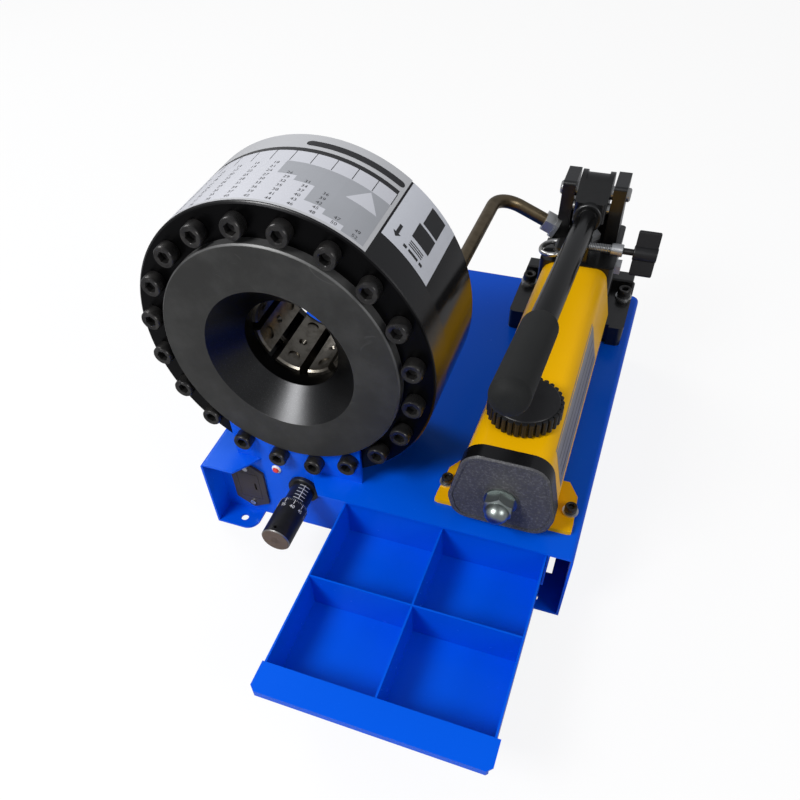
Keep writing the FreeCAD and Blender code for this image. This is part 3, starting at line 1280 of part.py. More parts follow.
def pipe_fittings():
    """The two screwed fittings: one in the pump block, one in the head's rear wall."""
    start, direction = outlet()
    px, pz = port_point()
    rear = v(px, RING_Y + HEAD_LEN, pz)
    pump = fuse(rod(STUD_R, start - direction * 10, direction, 11),
                hexagon(FITTING_HEX, start, direction, FITTING_HEX_LEN),
                rod(FITTING_R, start, direction, FITTING_LEN))
    head = fuse(rod(STUD_R - 0.4, rear - y_dir() * 8, y_dir(), 9),
                hexagon(FITTING_HEX, rear, y_dir(), FITTING_HEX_LEN),
                rod(FITTING_R, rear, y_dir(), FITTING_LEN))
    return Part.makeCompound([pump, head])


def pipe_nuts():
    """Union nuts on both pipe ends."""
    start, direction = outlet()
    px, pz = port_point()
    rear = v(px, RING_Y + HEAD_LEN, pz)
    out = []
    for base, d in ((start, direction), (rear, y_dir())):
        nut = hexagon(UNION_HEX, base + d * (FITTING_HEX_LEN + SLIDE_GAP), d, UNION_LEN)
        out.append(cut(nut, rod(FITTING_R + 0.05, base, d, FITTING_LEN), rod(PIPE_R + 0.05, base, d, 40)))
    return Part.makeCompound(out)


def build():
    """All nodes by name."""
    others = [i for i in range(BOLT_COUNT) if i not in BRACKET_BOLT_IDS]
    parts = {
        "base_cover": base_cover(),
        "front_panel": front_panel(),
        "drawer_rails": drawer_rails(),
        "battery_housing": battery_housing(),
        "battery_tray": battery_tray(),
        "battery": battery(),
        "battery_screws": battery_screws(),
        "lamp_bezel": lamp_bezel(),
        "lamp_lens": lamp_lens(),
        "micrometer_sleeve": micrometer_sleeve(),
        "micrometer_nut": micrometer_nut(),
        "micrometer_thimble": micrometer_thimble(),
        "micrometer_spindle": micrometer_spindle(),
        "limit_switch": limit_switch(),
        "front_cover": front_cover(),
        "cylinder_body": cylinder_body(),
        "guide_sleeve": guide_sleeve(),
        "sleeve_bolts": sleeve_bolts(),
        "ring_bolts": head_bolts(others, RING_Y),
        "bracket_bolts": head_bolts(BRACKET_BOLT_IDS, PANEL_Y),
        "piston": piston(),
        "piston_seals": piston_seals(),
        "striker_pin": striker_pin(),
        "drawer_tray": drawer_tray(),
        "drawer_lip": drawer_lip(),
        "cross_divider": cross_divider(),
        "long_dividers": long_dividers(),
        "reservoir": reservoir(),
        "end_cap": end_cap(),
        "tie_rod": tie_rod(),
        "acorn_nut": acorn_nut(),
        "front_foot": front_foot(),
        "mounting_screws": mounting_screws(),
        "mounting_washers": mounting_washers(),
        "weld_nuts": weld_nuts(),
        "pump_block": pump_block(),
        "relief_plug": relief_plug(),
        "plunger_gland": plunger_gland(),
        "pivot_pin": pivot_pin(),
        "pump_plunger": pump_plunger(),
        "handle_yoke": handle_yoke(),
        "link_pin": link_pin(),
        "lever_tube": lever_tube(),
        "lever_grip": lever_grip(),
        "filler_cap": filler_cap(),
        "valve_stem": valve_stem(),
        "valve_knob": valve_knob(),
        "lock_bail": lock_bail(),
        "pressure_pipe": pressure_pipe(),
        "pipe_fittings": pipe_fittings(),
        "pipe_nuts": pipe_nuts(),
    }
    for k in range(DIE_COUNT):
        parts[f"master_die_{k + 1}"] = master_die(k)
    return parts


def main():
    """Writes one STEP file per node."""
    os.makedirs("parts", exist_ok=True)
    for name, shape in build().items():
        shape.exportStep(os.path.join("parts", name + ".step"))
        print(name, len(shape.Solids), round(shape.Volume), shape.isValid())


if __name__ == "__main__":
    main()
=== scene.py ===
"""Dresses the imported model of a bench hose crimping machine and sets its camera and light.

Lengths in the dataclasses are millimetres, angles are degrees, and meshes are made in metres.
"""
from __future__ import annotations

import json
import logging
import math
from dataclasses import dataclass, field
from enum import Enum
from typing import Any, Callable, Sequence

import bmesh
import bpy
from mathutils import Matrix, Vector
from mathutils.bvhtree import BVHTree

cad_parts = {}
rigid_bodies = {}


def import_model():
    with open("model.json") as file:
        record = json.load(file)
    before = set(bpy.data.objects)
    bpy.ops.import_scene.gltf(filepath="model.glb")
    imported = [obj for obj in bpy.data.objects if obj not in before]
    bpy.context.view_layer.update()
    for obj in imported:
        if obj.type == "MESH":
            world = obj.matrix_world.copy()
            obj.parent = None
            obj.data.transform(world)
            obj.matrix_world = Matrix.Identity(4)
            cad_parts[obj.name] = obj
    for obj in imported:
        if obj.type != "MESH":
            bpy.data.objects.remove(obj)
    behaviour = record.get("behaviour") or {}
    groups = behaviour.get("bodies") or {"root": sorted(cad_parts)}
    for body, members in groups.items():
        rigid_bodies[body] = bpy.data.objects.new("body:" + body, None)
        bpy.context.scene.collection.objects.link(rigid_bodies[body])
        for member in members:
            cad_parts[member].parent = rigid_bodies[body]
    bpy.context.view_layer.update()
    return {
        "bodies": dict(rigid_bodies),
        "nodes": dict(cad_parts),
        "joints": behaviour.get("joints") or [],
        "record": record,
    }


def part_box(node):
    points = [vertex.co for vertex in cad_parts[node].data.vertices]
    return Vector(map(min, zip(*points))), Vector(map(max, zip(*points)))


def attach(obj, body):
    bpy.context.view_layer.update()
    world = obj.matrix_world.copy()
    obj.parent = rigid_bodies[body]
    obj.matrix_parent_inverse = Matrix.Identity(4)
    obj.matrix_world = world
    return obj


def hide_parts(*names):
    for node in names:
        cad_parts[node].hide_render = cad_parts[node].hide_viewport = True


LOG = logging.getLogger("crimper")
MM = 0.001
SHARP_EDGE = 35.0
BEVEL_ANGLE = 32.0
DIGIT_SHARE = 0.7
MIX_A, MIX_B, MIX_RESULT = 6, 7, 2
LAMP_TARGET = Vector((0.0, 0.0, 0.12))
Colour = tuple[float, float, float]
Place = tuple[float, float]


class Axis(Enum):
    """Directions of the part's frame."""

    RIGHT = (1.0, 0.0, 0.0)
    BACK = (0.0, 1.0, 0.0)
    UP = (0.0, 0.0, 1.0)
    FORWARD = (0.0, -1.0, 0.0)
    LEFT = (-1.0, 0.0, 0.0)

    def vector(self) -> Vector:
        """The direction as a vector."""
        return Vector(self.value)


class Value:
    """A number that varies over a surface: one socket, with arithmetic that adds Math nodes."""

    def __init__(self, recipe: "Recipe", socket: bpy.types.NodeSocket) -> None:
        """Wraps one output socket of a recipe's tree."""
        self.recipe = recipe
        self.socket = socket

    def _join(self, operation: str, first: Any, second: Any) -> "Value":
        """Adds one Math node."""
        return self.recipe.node("ShaderNodeMath", {"operation": operation}, {0: first, 1: second})

    def __add__(self, other: Any) -> "Value":
        """Sum."""
        return self._join("ADD", self, other)

    __radd__ = __add__

    def __sub__(self, other: Any) -> "Value":
        """Difference."""
        return self._join("SUBTRACT", self, other)

    def __rsub__(self, other: Any) -> "Value":
        """Difference, the other way round."""
        return self._join("SUBTRACT", other, self)

    def __mul__(self, other: Any) -> "Value":
        """Product."""
        return self._join("MULTIPLY", self, other)

    __rmul__ = __mul__

    def __pow__(self, other: Any) -> "Value":
        """Power."""
        return self._join("POWER", self, other)

    def root(self) -> "Value":
        """Square root."""
        return self._join("SQRT", self, 0.0)

    def wave(self) -> "Value":
        """Sine."""
        return self._join("SINE", self, 0.0)

    def clamp(self) -> "Value":
        """The value held between 0 and 1."""
        return self.recipe.node("ShaderNodeClamp", {}, {0: self})

    def step(self, low: float, high: float) -> "Value":
        """0 below low, 1 above high, with a smooth rise between.

        Args:
            low: Value where the rise starts.
            high: Value where the rise ends; below low, the rise is turned round.

        Returns:
            The mask.
        """
        settings = {"interpolation_type": "SMOOTHSTEP"}
        return self.recipe.node("ShaderNodeMapRange", settings, {0: self, 1: low, 2: high, 3: 0.0, 4: 1.0})


class Recipe:
    """One node material: a Principled shader and the nodes that feed it."""

    def __init__(self, name: str) -> None:
        """Makes an empty material with its shader and output.

        Args:
            name: The material's name.
        """
        self.material = bpy.data.materials.new(name)
        self.material.use_nodes = True
        self.tree = self.material.node_tree
        self.tree.nodes.clear()
        self.output = self.tree.nodes.new("ShaderNodeOutputMaterial")
        self.shader = self.tree.nodes.new("ShaderNodeBsdfPrincipled")
        self.tree.links.new(self.shader.outputs[0], self.output.inputs["Surface"])

    def node(self, kind: str, settings: dict[str, Any], inputs: dict[Any, Any], out: Any = 0) -> Value:
        """Adds one node.

        Args:
            kind: The node's type name.
            settings: Its own properties, set before its sockets.
            inputs: Values or links of its sockets, by name or number.
            out: Name or number of the output to wrap.

        Returns:
            The wrapped output.
        """
        made = self.tree.nodes.new(kind)
        for key, value in settings.items():
            setattr(made, key, value)
        for key, value in inputs.items():
            self.plug(made.inputs[key], value)
        return Value(self, made.outputs[out])

    def plug(self, socket: bpy.types.NodeSocket, value: Any) -> None:
        """Links a value to a socket, or sets the socket to a plain number or colour."""
        if isinstance(value, Value):
            self.tree.links.new(value.socket, socket)
        elif isinstance(value, tuple) and len(value) == 3 and len(socket.default_value) == 4:
            socket.default_value = (*value, 1.0)
        else:
            socket.default_value = value

    def place(self) -> Value:
        """Where a point lies on the object, in metres."""
        return self.node("ShaderNodeTexCoord", {}, {}, "Object")

    def split(self, vector: Value) -> tuple[Value, Value, Value]:
        """The three parts of a vector."""
        made = self.node("ShaderNodeSeparateXYZ", {}, {0: vector}, "X")
        outputs = made.socket.node.outputs
        return made, Value(self, outputs["Y"]), Value(self, outputs["Z"])

    def stretched(self, scale: tuple[float, float, float]) -> Value:
        """The object's coordinates, scaled along each axis."""
        return self.node("ShaderNodeMapping", {}, {"Vector": self.place(), "Scale": scale})

    def noise(self, scale: float, detail: float = 3.0, rough: float = 0.5, at: Value | None = None) -> Value:
        """Noise over the surface.

        Args:
            scale: Cells per metre.
            detail: Octaves.
            rough: Weight of the finer octaves.
            at: Coordinates, when not the plain ones.

        Returns:
            The noise.
        """
        sockets = {"Vector": at or self.place(), "Scale": scale, "Detail": detail, "Roughness": rough}
        return self.node("ShaderNodeTexNoise", {}, sockets, "Fac")

    def blend(self, mask: Any, first: Any, second: Any) -> Value:
        """Mixes two colours by a mask."""
        settings = {"data_type": "RGBA", "blend_type": "MIX"}
        return self.node("ShaderNodeMix", settings, {0: mask, MIX_A: first, MIX_B: second}, MIX_RESULT)

    def bump(self, height: Value, depth: float) -> Value:
        """Turns a height into a normal.

        Args:
            height: Height between 0 and 1.
            depth: What a height of 1 stands for, in metres.

        Returns:
            The normal.
        """
        return self.node("ShaderNodeBump", {}, {"Height": height, "Distance": depth, "Strength": 1.0})

    def feed(self, **values: Any) -> bpy.types.Material:
        """Sets the shader's sockets; underscores in a name stand for spaces.

        Returns:
            The finished material.
        """
        for key, value in values.items():
            self.plug(self.shader.inputs[key.replace("_", " ")], value)
        return self.material


@dataclass(frozen=True)
class Finish:
    """A surface for pieces; each kind of finish says what feeds the shader."""

    name: str

    def make(self) -> bpy.types.Material:
        """Builds the material."""
        recipe = Recipe(self.name)
        return recipe.feed(**self.feeds(recipe))

    def feeds(self, recipe: Recipe) -> dict[str, Any]:
        """Values and links of the shader's sockets; underscores in a name stand for spaces.

        Args:
            recipe: The material being made.

        Returns:
            What Recipe.feed takes.
        """
        raise NotImplementedError


@dataclass(frozen=True)
class PowderCoat(Finish):
    """Glossy baked paint with a fine orange peel; glint tints its reflections."""

    colour: Colour
    shade: Colour
    roughness: float = 0.22
    peel: float = 0.000025
    cells: float = 520.0
    shine: float = 0.3
    glint: Colour = (1.0, 1.0, 1.0)

    def feeds(self, recipe: Recipe) -> dict[str, Any]:
        """What feeds the shader."""
        drift = recipe.noise(9.0, 2.0)
        dust = recipe.noise(260.0, 4.0, 0.6).step(0.62, 0.8)
        peel = recipe.noise(self.cells, 2.0)
        tint = recipe.blend(drift, self.colour, self.shade)
        return dict(
            Base_Color=tint,
            Roughness=self.roughness + drift * 0.06 + dust * 0.05,
            Normal=recipe.bump(peel, self.peel),
            Specular_IOR_Level=self.shine,
            Specular_Tint=self.glint,
        )


@dataclass(frozen=True)
class TurnedBlack(Finish):
    """Black-oxided turned steel: faint turning rings about the head's axis, hairline scratches and specks."""

    head: "HeadSizes"
    colour: Colour = (0.036, 0.036, 0.034)
    pale: Colour = (0.075, 0.075, 0.072)
    roughness: float = 0.36
    metal: float = 0.5
    turning: float = 9500.0
    scratches: tuple[float, float] = (11.0, 23.0)

    def feeds(self, recipe: Recipe) -> dict[str, Any]:
        """What feeds the shader."""
        tint, rough, normal = self.surface(recipe, self.head.distance(recipe))
        return dict(Base_Color=tint, Metallic=self.metal, Roughness=rough, Normal=normal)

    def surface(self, recipe: Recipe, radius: Value) -> tuple[Value, Value, Value]:
        """Colour, roughness and normal of the oxided steel.

        Args:
            recipe: The material being made.
            radius: Distance from the head's axis, in metres.

        Returns:
            The three values.
        """
        rings = (radius * self.turning).wave() * 0.5 + 0.5
        smear = recipe.noise(34.0, 5.0, 0.62)
        broad, narrow = (self._hairlines(recipe, cells) for cells in self.scratches)
        hairs = broad + narrow
        speck = recipe.noise(900.0, 1.0).step(0.76, 0.8)
        worn = (smear.step(0.35, 0.75) * 0.5 + hairs * 0.6 + speck * 0.4).clamp()
        tint = recipe.blend(worn, self.colour, self.pale)
        return tint, self.roughness + smear * 0.14, recipe.bump(rings * 0.35 + smear * 0.5, 0.000012)

    @staticmethod
    def _hairlines(recipe: Recipe, cells: float) -> Value:
        """Thin curved scratches: the places where a soft noise passes one level, kept in a few patches."""
        level = recipe.noise(cells, 1.0, 0.4)
        line = level.step(0.497, 0.5) * level.step(0.503, 0.5)
        return line * recipe.noise(cells * 1.9, 2.0).step(0.56, 0.62)


@dataclass(frozen=True)
class CoverBlack(TurnedBlack):
    """The front cover: satin boss with a painted highlight along its edge, darker ring and rim, dark machined
    cone, and a throat painted near-black as shade.
    """

    boss_radius: float = 95.8
    # Radii where the painted highlight along the boss's edge rises, is full, fades and ends.
    painted_highlight_band: tuple[float, float, float, float] = (94.3, 95.2, 95.7, 96.0)
    outside: float = 119.2
    cone_back: float = 14.5
    ring_dark: Colour = (0.004, 0.004, 0.0045)
    ring_pale: Colour = (0.009, 0.009, 0.0095)
    # Painted highlight: the light grey laid along the boss's edge (the field keeps the name rubbed).
    rubbed: Colour = (0.16, 0.16, 0.16)
    cone_dark: Colour = (0.022, 0.022, 0.022)
    cone_pale: Colour = (0.085, 0.086, 0.09)
    # Painted shade: near-black laid in the deep throat behind the cone.
    painted_throat_shade: Colour = (0.006, 0.006, 0.006)

    def feeds(self, recipe: Recipe) -> dict[str, Any]:
        """What feeds the shader."""
        radius = self.head.distance(recipe)
        tint, rough, normal = self.surface(recipe, radius)
        depth = recipe.split(recipe.place())[1] - self.head.ring_face
        ring = radius.step(self.boss_radius * MM, (self.boss_radius + 0.4) * MM)
        rim = radius.step(self.outside * MM, (self.outside + 0.4) * MM)
        cone = radius.step(self.head.mouth_radius * MM, (self.head.mouth_radius - 0.3) * MM)
        throat = depth.step((self.cone_back - 0.2) * MM, (self.cone_back + 0.2) * MM)
        # Painted highlight: a light band along the boss's edge, mixed in at 0.6 below.
        rise, full, fade, end = (r * MM for r in self.painted_highlight_band)
        edge = radius.step(rise, full) * radius.step(end, fade)
        streak = recipe.noise(9.0, 3.0, 0.6)
        grain = recipe.noise(1700.0, 2.0, 0.7)
        glitter = grain.step(0.55, 0.75)
        machined = recipe.blend((streak * 0.5 + glitter * 0.6).clamp(), self.cone_dark, self.cone_pale)
        tint = recipe.blend(ring, tint, recipe.blend(streak, self.ring_dark, self.ring_pale))
        tint = recipe.blend(rim, tint, self.ring_dark)
        tint = recipe.blend(edge * 0.6, tint, self.rubbed)
        tint = recipe.blend(cone, tint, machined)
        # Painted shade: the throat behind the cone is made near-black.
        tint = recipe.blend(cone * throat, tint, self.painted_throat_shade)
        gloss = ring * 0.09 + rim * 0.1
        return dict(
            Base_Color=tint,
            Metallic=(self.metal + cone * 0.5 + ring * 0.4 - rim * 0.9).clamp(),
            Roughness=rough - gloss + cone * (0.27 + grain * 0.12 - rough),
            Normal=normal,
        )


@dataclass(frozen=True)
class Lacquer(Finish):
    """Deep gloss black over turned steel."""

    colour: Colour = (0.0035, 0.0035, 0.004)
    shade: Colour = (0.009, 0.009, 0.0095)
    roughness: float = 0.09
    shine: float = 0.32

    def feeds(self, recipe: Recipe) -> dict[str, Any]:
        """What feeds the shader."""
        smear = recipe.noise(22.0, 4.0, 0.6)
        swirl = recipe.noise(420.0, 3.0, 0.6, recipe.stretched((1.0, 0.12, 1.0)))
        return dict(
            Base_Color=recipe.blend(smear, self.colour, self.shade),
            Roughness=self.roughness + smear * 0.08,
            Normal=recipe.bump(swirl, 0.000006),
            Specular_IOR_Level=self.shine,
        )


@dataclass(frozen=True)
class Steel(Finish):
    """Bare, ground or plated steel with fine grinding lines and a few stains."""

    colour: Colour
    stain: Colour
    roughness: float = 0.28
    grain: tuple[float, float, float] = (1.0, 1.0, 1.0)
    stains: float = 0.5
    metal: float = 1.0

    def feeds(self, recipe: Recipe) -> dict[str, Any]:
        """What feeds the shader."""
        lines = recipe.noise(1400.0, 3.0, 0.6, recipe.stretched(self.grain))
        cloud = recipe.noise(95.0, 4.0, 0.6)
        pits = recipe.noise(620.0, 2.0).step(0.66, 0.78)
        tint = recipe.blend(cloud.step(0.4, 0.75) * self.stains + pits * 0.3, self.colour, self.stain)
        return dict(
            Base_Color=tint,
            Metallic=self.metal,
            Roughness=self.roughness + cloud * 0.12 + lines * 0.06,
            Normal=recipe.bump(lines, 0.00001),
        )


@dataclass(frozen=True)
class CastBlack(Finish):
    """Glossy black paint over a sand casting: soft lumps, a fine skin and rubbed high spots."""

    colour: Colour = (0.003, 0.003, 0.0032)
    rubbed: Colour = (0.03, 0.03, 0.03)
    lumps: float = 0.00016
    roughness: float = 0.26

    def feeds(self, recipe: Recipe) -> dict[str, Any]:
        """What feeds the shader."""
        skin = recipe.noise(330.0, 5.0, 0.62)
        lump = recipe.noise(85.0, 3.0)
        rub = recipe.noise(160.0, 5.0, 0.7).step(0.66, 0.78)
        return dict(
            Base_Color=recipe.blend(rub * 0.35, self.colour, self.rubbed),
            Roughness=self.roughness + skin * 0.14,
            Normal=recipe.bump(skin * 0.5 + lump * 0.5, self.lumps),
            Coat_Weight=0.35,
            Coat_Roughness=0.09,
        )


@dataclass(frozen=True)
class Moulded(Finish):
    """Moulded plastic or rubber with a spark-eroded or foamed skin."""

    colour: Colour
    pale: Colour
    roughness: float = 0.5
    cells: float = 1300.0
    depth: float = 0.00006
    sheen: float = 0.0
    shine: float = 0.4

    def feeds(self, recipe: Recipe) -> dict[str, Any]:
        """What feeds the shader."""
        grain = recipe.noise(self.cells, 3.0, 0.6)
        drift = recipe.noise(40.0, 3.0)
        return dict(
            Base_Color=recipe.blend(grain.step(0.5, 0.85) * 0.7 + drift * 0.3, self.colour, self.pale),
            Roughness=self.roughness + drift * 0.12,
            Normal=recipe.bump(grain, self.depth),
            Sheen_Weight=self.sheen,
            Specular_IOR_Level=self.shine,
        )


@dataclass(frozen=True)
class CapPlastic(Finish):
    """The end cap: a pale, coarsely grained face in a glossy black rim."""

    front: float
    face: Colour = (0.040, 0.040, 0.045)
    pale: Colour = (0.15, 0.15, 0.16)
    rim: Colour = (0.004, 0.004, 0.0045)
    rim_from: float = 1.1
    rim_full: float = 1.4

    def feeds(self, recipe: Recipe) -> dict[str, Any]:
        """What feeds the shader."""
        depth = recipe.split(recipe.place())[1] - self.front
        side = depth.step(self.rim_from * MM, self.rim_full * MM)
        grain = recipe.noise(620.0, 4.0, 0.65)
        drift = recipe.noise(40.0, 3.0)
        tint = recipe.blend((grain.step(0.45, 0.8) * 0.8 + drift * 0.2).clamp(), self.face, self.pale)
        return dict(
            Base_Color=recipe.blend(side, tint, self.rim),
            Roughness=0.46 - side * 0.24 + drift * 0.08,
            Normal=recipe.bump(grain * (1.0 - side * 0.8), 0.00016),
            Specular_IOR_Level=0.4,
        )


@dataclass(frozen=True)
class Film(Finish):
    """Printed label film: satin, with a faint ripple from being laid by hand."""

    colour: Colour
    shade: Colour
    roughness: float = 0.34

    def feeds(self, recipe: Recipe) -> dict[str, Any]:
        """What feeds the shader."""
        cloud = recipe.noise(30.0, 3.0)
        ripple = recipe.noise(55.0, 2.0)
        return dict(
            Base_Color=recipe.blend(cloud, self.colour, self.shade),
            Roughness=self.roughness + cloud * 0.1,
            Normal=recipe.bump(ripple, 0.00004),
            Coat_Weight=0.2,
            Coat_Roughness=0.2,
        )


@dataclass(frozen=True)
class Ink(Finish):
    """Printed or engraved-and-filled marks."""

    colour: Colour
    roughness: float = 0.45

    def feeds(self, recipe: Recipe) -> dict[str, Any]:
        """What feeds the shader."""
        worn = recipe.noise(700.0, 3.0)
        pale = tuple(c * 0.75 + 0.02 for c in self.colour)
        tint = recipe.blend(worn, self.colour, pale)
        return dict(Base_Color=tint, Roughness=self.roughness + worn * 0.1)


@dataclass(frozen=True)
class RedLens(Finish):
    """Clear, mottled red lens."""

    deep: Colour = (0.55, 0.01, 0.01)
    bright: Colour = (0.85, 0.06, 0.04)

    def feeds(self, recipe: Recipe) -> dict[str, Any]:
        """What feeds the shader."""
        mottle = recipe.noise(1800.0, 2.0)
        return dict(
            Base_Color=recipe.blend(mottle, self.deep, self.bright),
            Roughness=0.12 + mottle * 0.08,
            Coat_Weight=0.6,
            Coat_Roughness=0.05,
        )


@dataclass(frozen=True)
class Barrel:
    """A cylinder along the part's depth, that print is wrapped on."""

    x: float
    z: float
    datum: float
    radius: float

    def point(self, angle: float, back: float, lift: float) -> Vector:
        """A point on the barrel.

        Args:
            angle: Degrees about the axis, from the right side upwards.
            back: Millimetres behind the datum.
            lift: Millimetres above the surface.

        Returns:
            The point in metres.
        """
        a = math.radians(angle)
        r = (self.radius + lift) * MM
        return Vector((self.x + r * math.cos(a), self.datum + back * MM, self.z + r * math.sin(a)))


@dataclass
class HeadSizes:
    """Sizes of the crimping head that the finishes and labels need."""

    radius: float = 120.0
    boss_proud: float = 8.6
    mouth_radius: float = 60.7
    centre: Vector = field(default_factory=Vector)
    ring_face: float = 0.0

    def read_frame(self) -> None:
        """Takes the head's axis and front face from the frame, in metres."""
        low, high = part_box("cylinder_body")
        self.centre = (low + high) / 2
        self.ring_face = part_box("front_cover")[0].y + self.boss_proud * MM

    def distance(self, recipe: Recipe) -> Value:
        """Distance from the head's axis, for shaders."""
        x, _, z = recipe.split(recipe.place())
        return ((x - self.centre.x) ** 2.0 + (z - self.centre.z) ** 2.0).root()

    def drum(self) -> Barrel:
        """The outside of the head."""
        return Barrel(self.centre.x, self.centre.z, self.ring_face, self.radius)


class Piece:
    """Gathers mesh parts into one object."""

    def __init__(self, name: str) -> None:
        """Starts an empty piece.

        Args:
            name: The object's name.
        """
        self.name = name
        self.mesh = bmesh.new()
        self.materials: list[bpy.types.Material] = []

    def material_slot(self, material: bpy.types.Material) -> int:
        """The number of a material's slot on this piece."""
        if material not in self.materials:
            self.materials.append(material)
        return self.materials.index(material)

    def lathe(self, profile: Sequence[Place], base: Vector, axis: Vector, turns: int = 48,
              material: int = 0, ripple: Callable[[float, int], float] | None = None) -> None:
        """Turns a profile about an axis.

        Args:
            profile: (radius, height) points in millimetres; a radius of 0 closes the end.
            base: Where the axis starts, in metres.
            axis: Its direction.
            turns: Points around.
            material: The material's slot.
            ripple: Changes a radius by its step around, for flutes and knurls.
        """
        spin = axis.normalized().to_track_quat("Z", "Y").to_matrix()
        rings = []
        for radius, height in profile:
            ring = []
            for i in range(turns if radius else 1):
                a = 2 * math.pi * i / turns
                r = (ripple(radius, i) if ripple else radius) * MM
                spot = Vector((r * math.cos(a), r * math.sin(a), height * MM))
                ring.append(self.mesh.verts.new(base + spin @ spot))
            rings.append(ring)
        for a, b in zip(rings, rings[1:]):
            self._bridge(a, b, material)

    def _bridge(self, a: list[bmesh.types.BMVert], b: list[bmesh.types.BMVert], material: int) -> None:
        """Joins two rings, or a ring and a tip, with faces."""
        n = max(len(a), len(b))
        for i in range(n):
            j = (i + 1) % n
            if len(a) == 1 and len(b) == 1:
                continue
            if len(a) == 1:
                corners = [a[0], b[j], b[i]]
            elif len(b) == 1:
                corners = [a[i], a[j], b[0]]
            else:
                corners = [a[i], a[j], b[j], b[i]]
            face = self.mesh.faces.new(corners)
            face.material_index = material
            face.smooth = True

    def finish(self, body: str, replaced: Sequence[str] = ()) -> bpy.types.Object:
        """Makes the object and joins it to its body.

        Args:
            body: The CAD body it rides on.
            replaced: CAD nodes that it stands for.

        Returns:
            The object.
        """
        bmesh.ops.recalc_face_normals(self.mesh, faces=self.mesh.faces)
        for edge in self.mesh.edges:
            if len(edge.link_faces) == 2 and edge.calc_face_angle() > math.radians(SHARP_EDGE):
                edge.smooth = False
        data = bpy.data.meshes.new(self.name)
        self.mesh.to_mesh(data)
        self.mesh.free()
        for material in self.materials:
            data.materials.append(material)
        made = bpy.data.objects.new(self.name, data)
        bpy.context.scene.collection.objects.link(made)
        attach(made, body)
        if replaced:
            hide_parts(*replaced)
        LOG.info("piece %s: %d faces", self.name, len(data.polygons))
        return made


def solids_of(frame: dict[str, Any], name: str) -> list[tuple[Vector, Vector]]:
    """Boxes of the separate solids of a CAD node.

    Args:
        frame: The loaded frame.
        name: The node.

    Returns:
        Lowest and highest corner of each solid, in metres.
    """
    copy = bmesh.new()
    copy.from_mesh(frame["nodes"][name].data)
    bmesh.ops.remove_doubles(copy, verts=copy.verts, dist=0.00001)
    unseen = set(copy.verts)
    boxes = []
    while unseen:
        group = [unseen.pop()]
        for vertex in group:
            near = {edge.other_vert(vertex) for edge in vertex.link_edges} & unseen
            unseen -= near
            group.extend(near)
        low = Vector(min(v.co[i] for v in group) for i in range(3))
        high = Vector(max(v.co[i] for v in group) for i in range(3))
        boxes.append((low, high))
    copy.free()
    return sorted(boxes, key=lambda pair: tuple(pair[0]))


@dataclass(frozen=True)
class SocketScrew:
    """A socket head screw with a knurled head, chamfered rims and a hexagonal socket."""

    head_radius: float = 8.0
    head_height: float = 10.0
    shank_radius: float = 5.0
    across_flats: float = 8.0
    socket_depth: float = 5.5
    flutes: int = 36
    groove: float = 0.16

    def add(self, piece: Piece, seat: Vector, out: Vector, shank: float, turn: float = 0.0) -> None:
        """Adds one screw.

        Args:
            piece: Where the mesh goes.
            seat: The point under the head, in metres.
            out: Direction from the seat to the head's top.
            shank: Shank length in millimetres.
            turn: How far the socket is turned, in degrees.
        """
        r, h = self.head_radius, self.head_height
        hexagon = self.across_flats / math.sqrt(3)
        turns = self.flutes * 2

        def knurl(radius: float, i: int) -> float:
            """Shallow grooves round the head's side."""
            return radius - self.groove * (i % 2) if radius == r else radius

        def socket(radius: float, i: int) -> float:
            """Bends the socket's ring to a hexagon."""
            if radius != hexagon:
                return radius
            a = (2 * math.pi * i / turns - math.radians(turn)) % (math.pi / 3) - math.pi / 6
            return hexagon * math.cos(math.pi / 6) / math.cos(a)

        rod, floor = self.shank_radius, h - self.socket_depth
        side = [(0, -shank), (rod - 0.6, -shank), (rod, -shank + 0.6), (rod, 0), (r - 0.3, 0), (r, 0.4),
                (r, h - 2.0)]
        top = [(r - 0.1, h - 2.0), (r - 0.12, h - 0.8), (r - 0.7, h), (hexagon + 0.75, h)]
        mouth = (hexagon + 0.15, h - 0.35)
        piece.lathe(side, seat, out, turns, 0, knurl)
        piece.lathe([*top, mouth], seat, out, turns)
        piece.lathe([mouth, (hexagon, h - 0.6), (hexagon, floor)], seat, out, turns, 0, socket)
        piece.lathe([(hexagon * 0.87, floor), (0, floor - 1.2)], seat, out, turns)


M10_SCREW = SocketScrew()
M8_SCREW = SocketScrew(6.5, 8.0, 4.0, 6.0, 4.0, 30)
M6_SCREW = SocketScrew(5.0, 6.0, 3.0, 5.0, 3.2, 26)
LOW_SCREW = SocketScrew(6.5, 4.5, 3.9, 5.0, 2.6, 30)
SOCKET_TURN = 23.0
SCREW_BLACK: Colour = (0.035, 0.034, 0.034)
SCREW_WORN: Colour = (0.09, 0.085, 0.08)


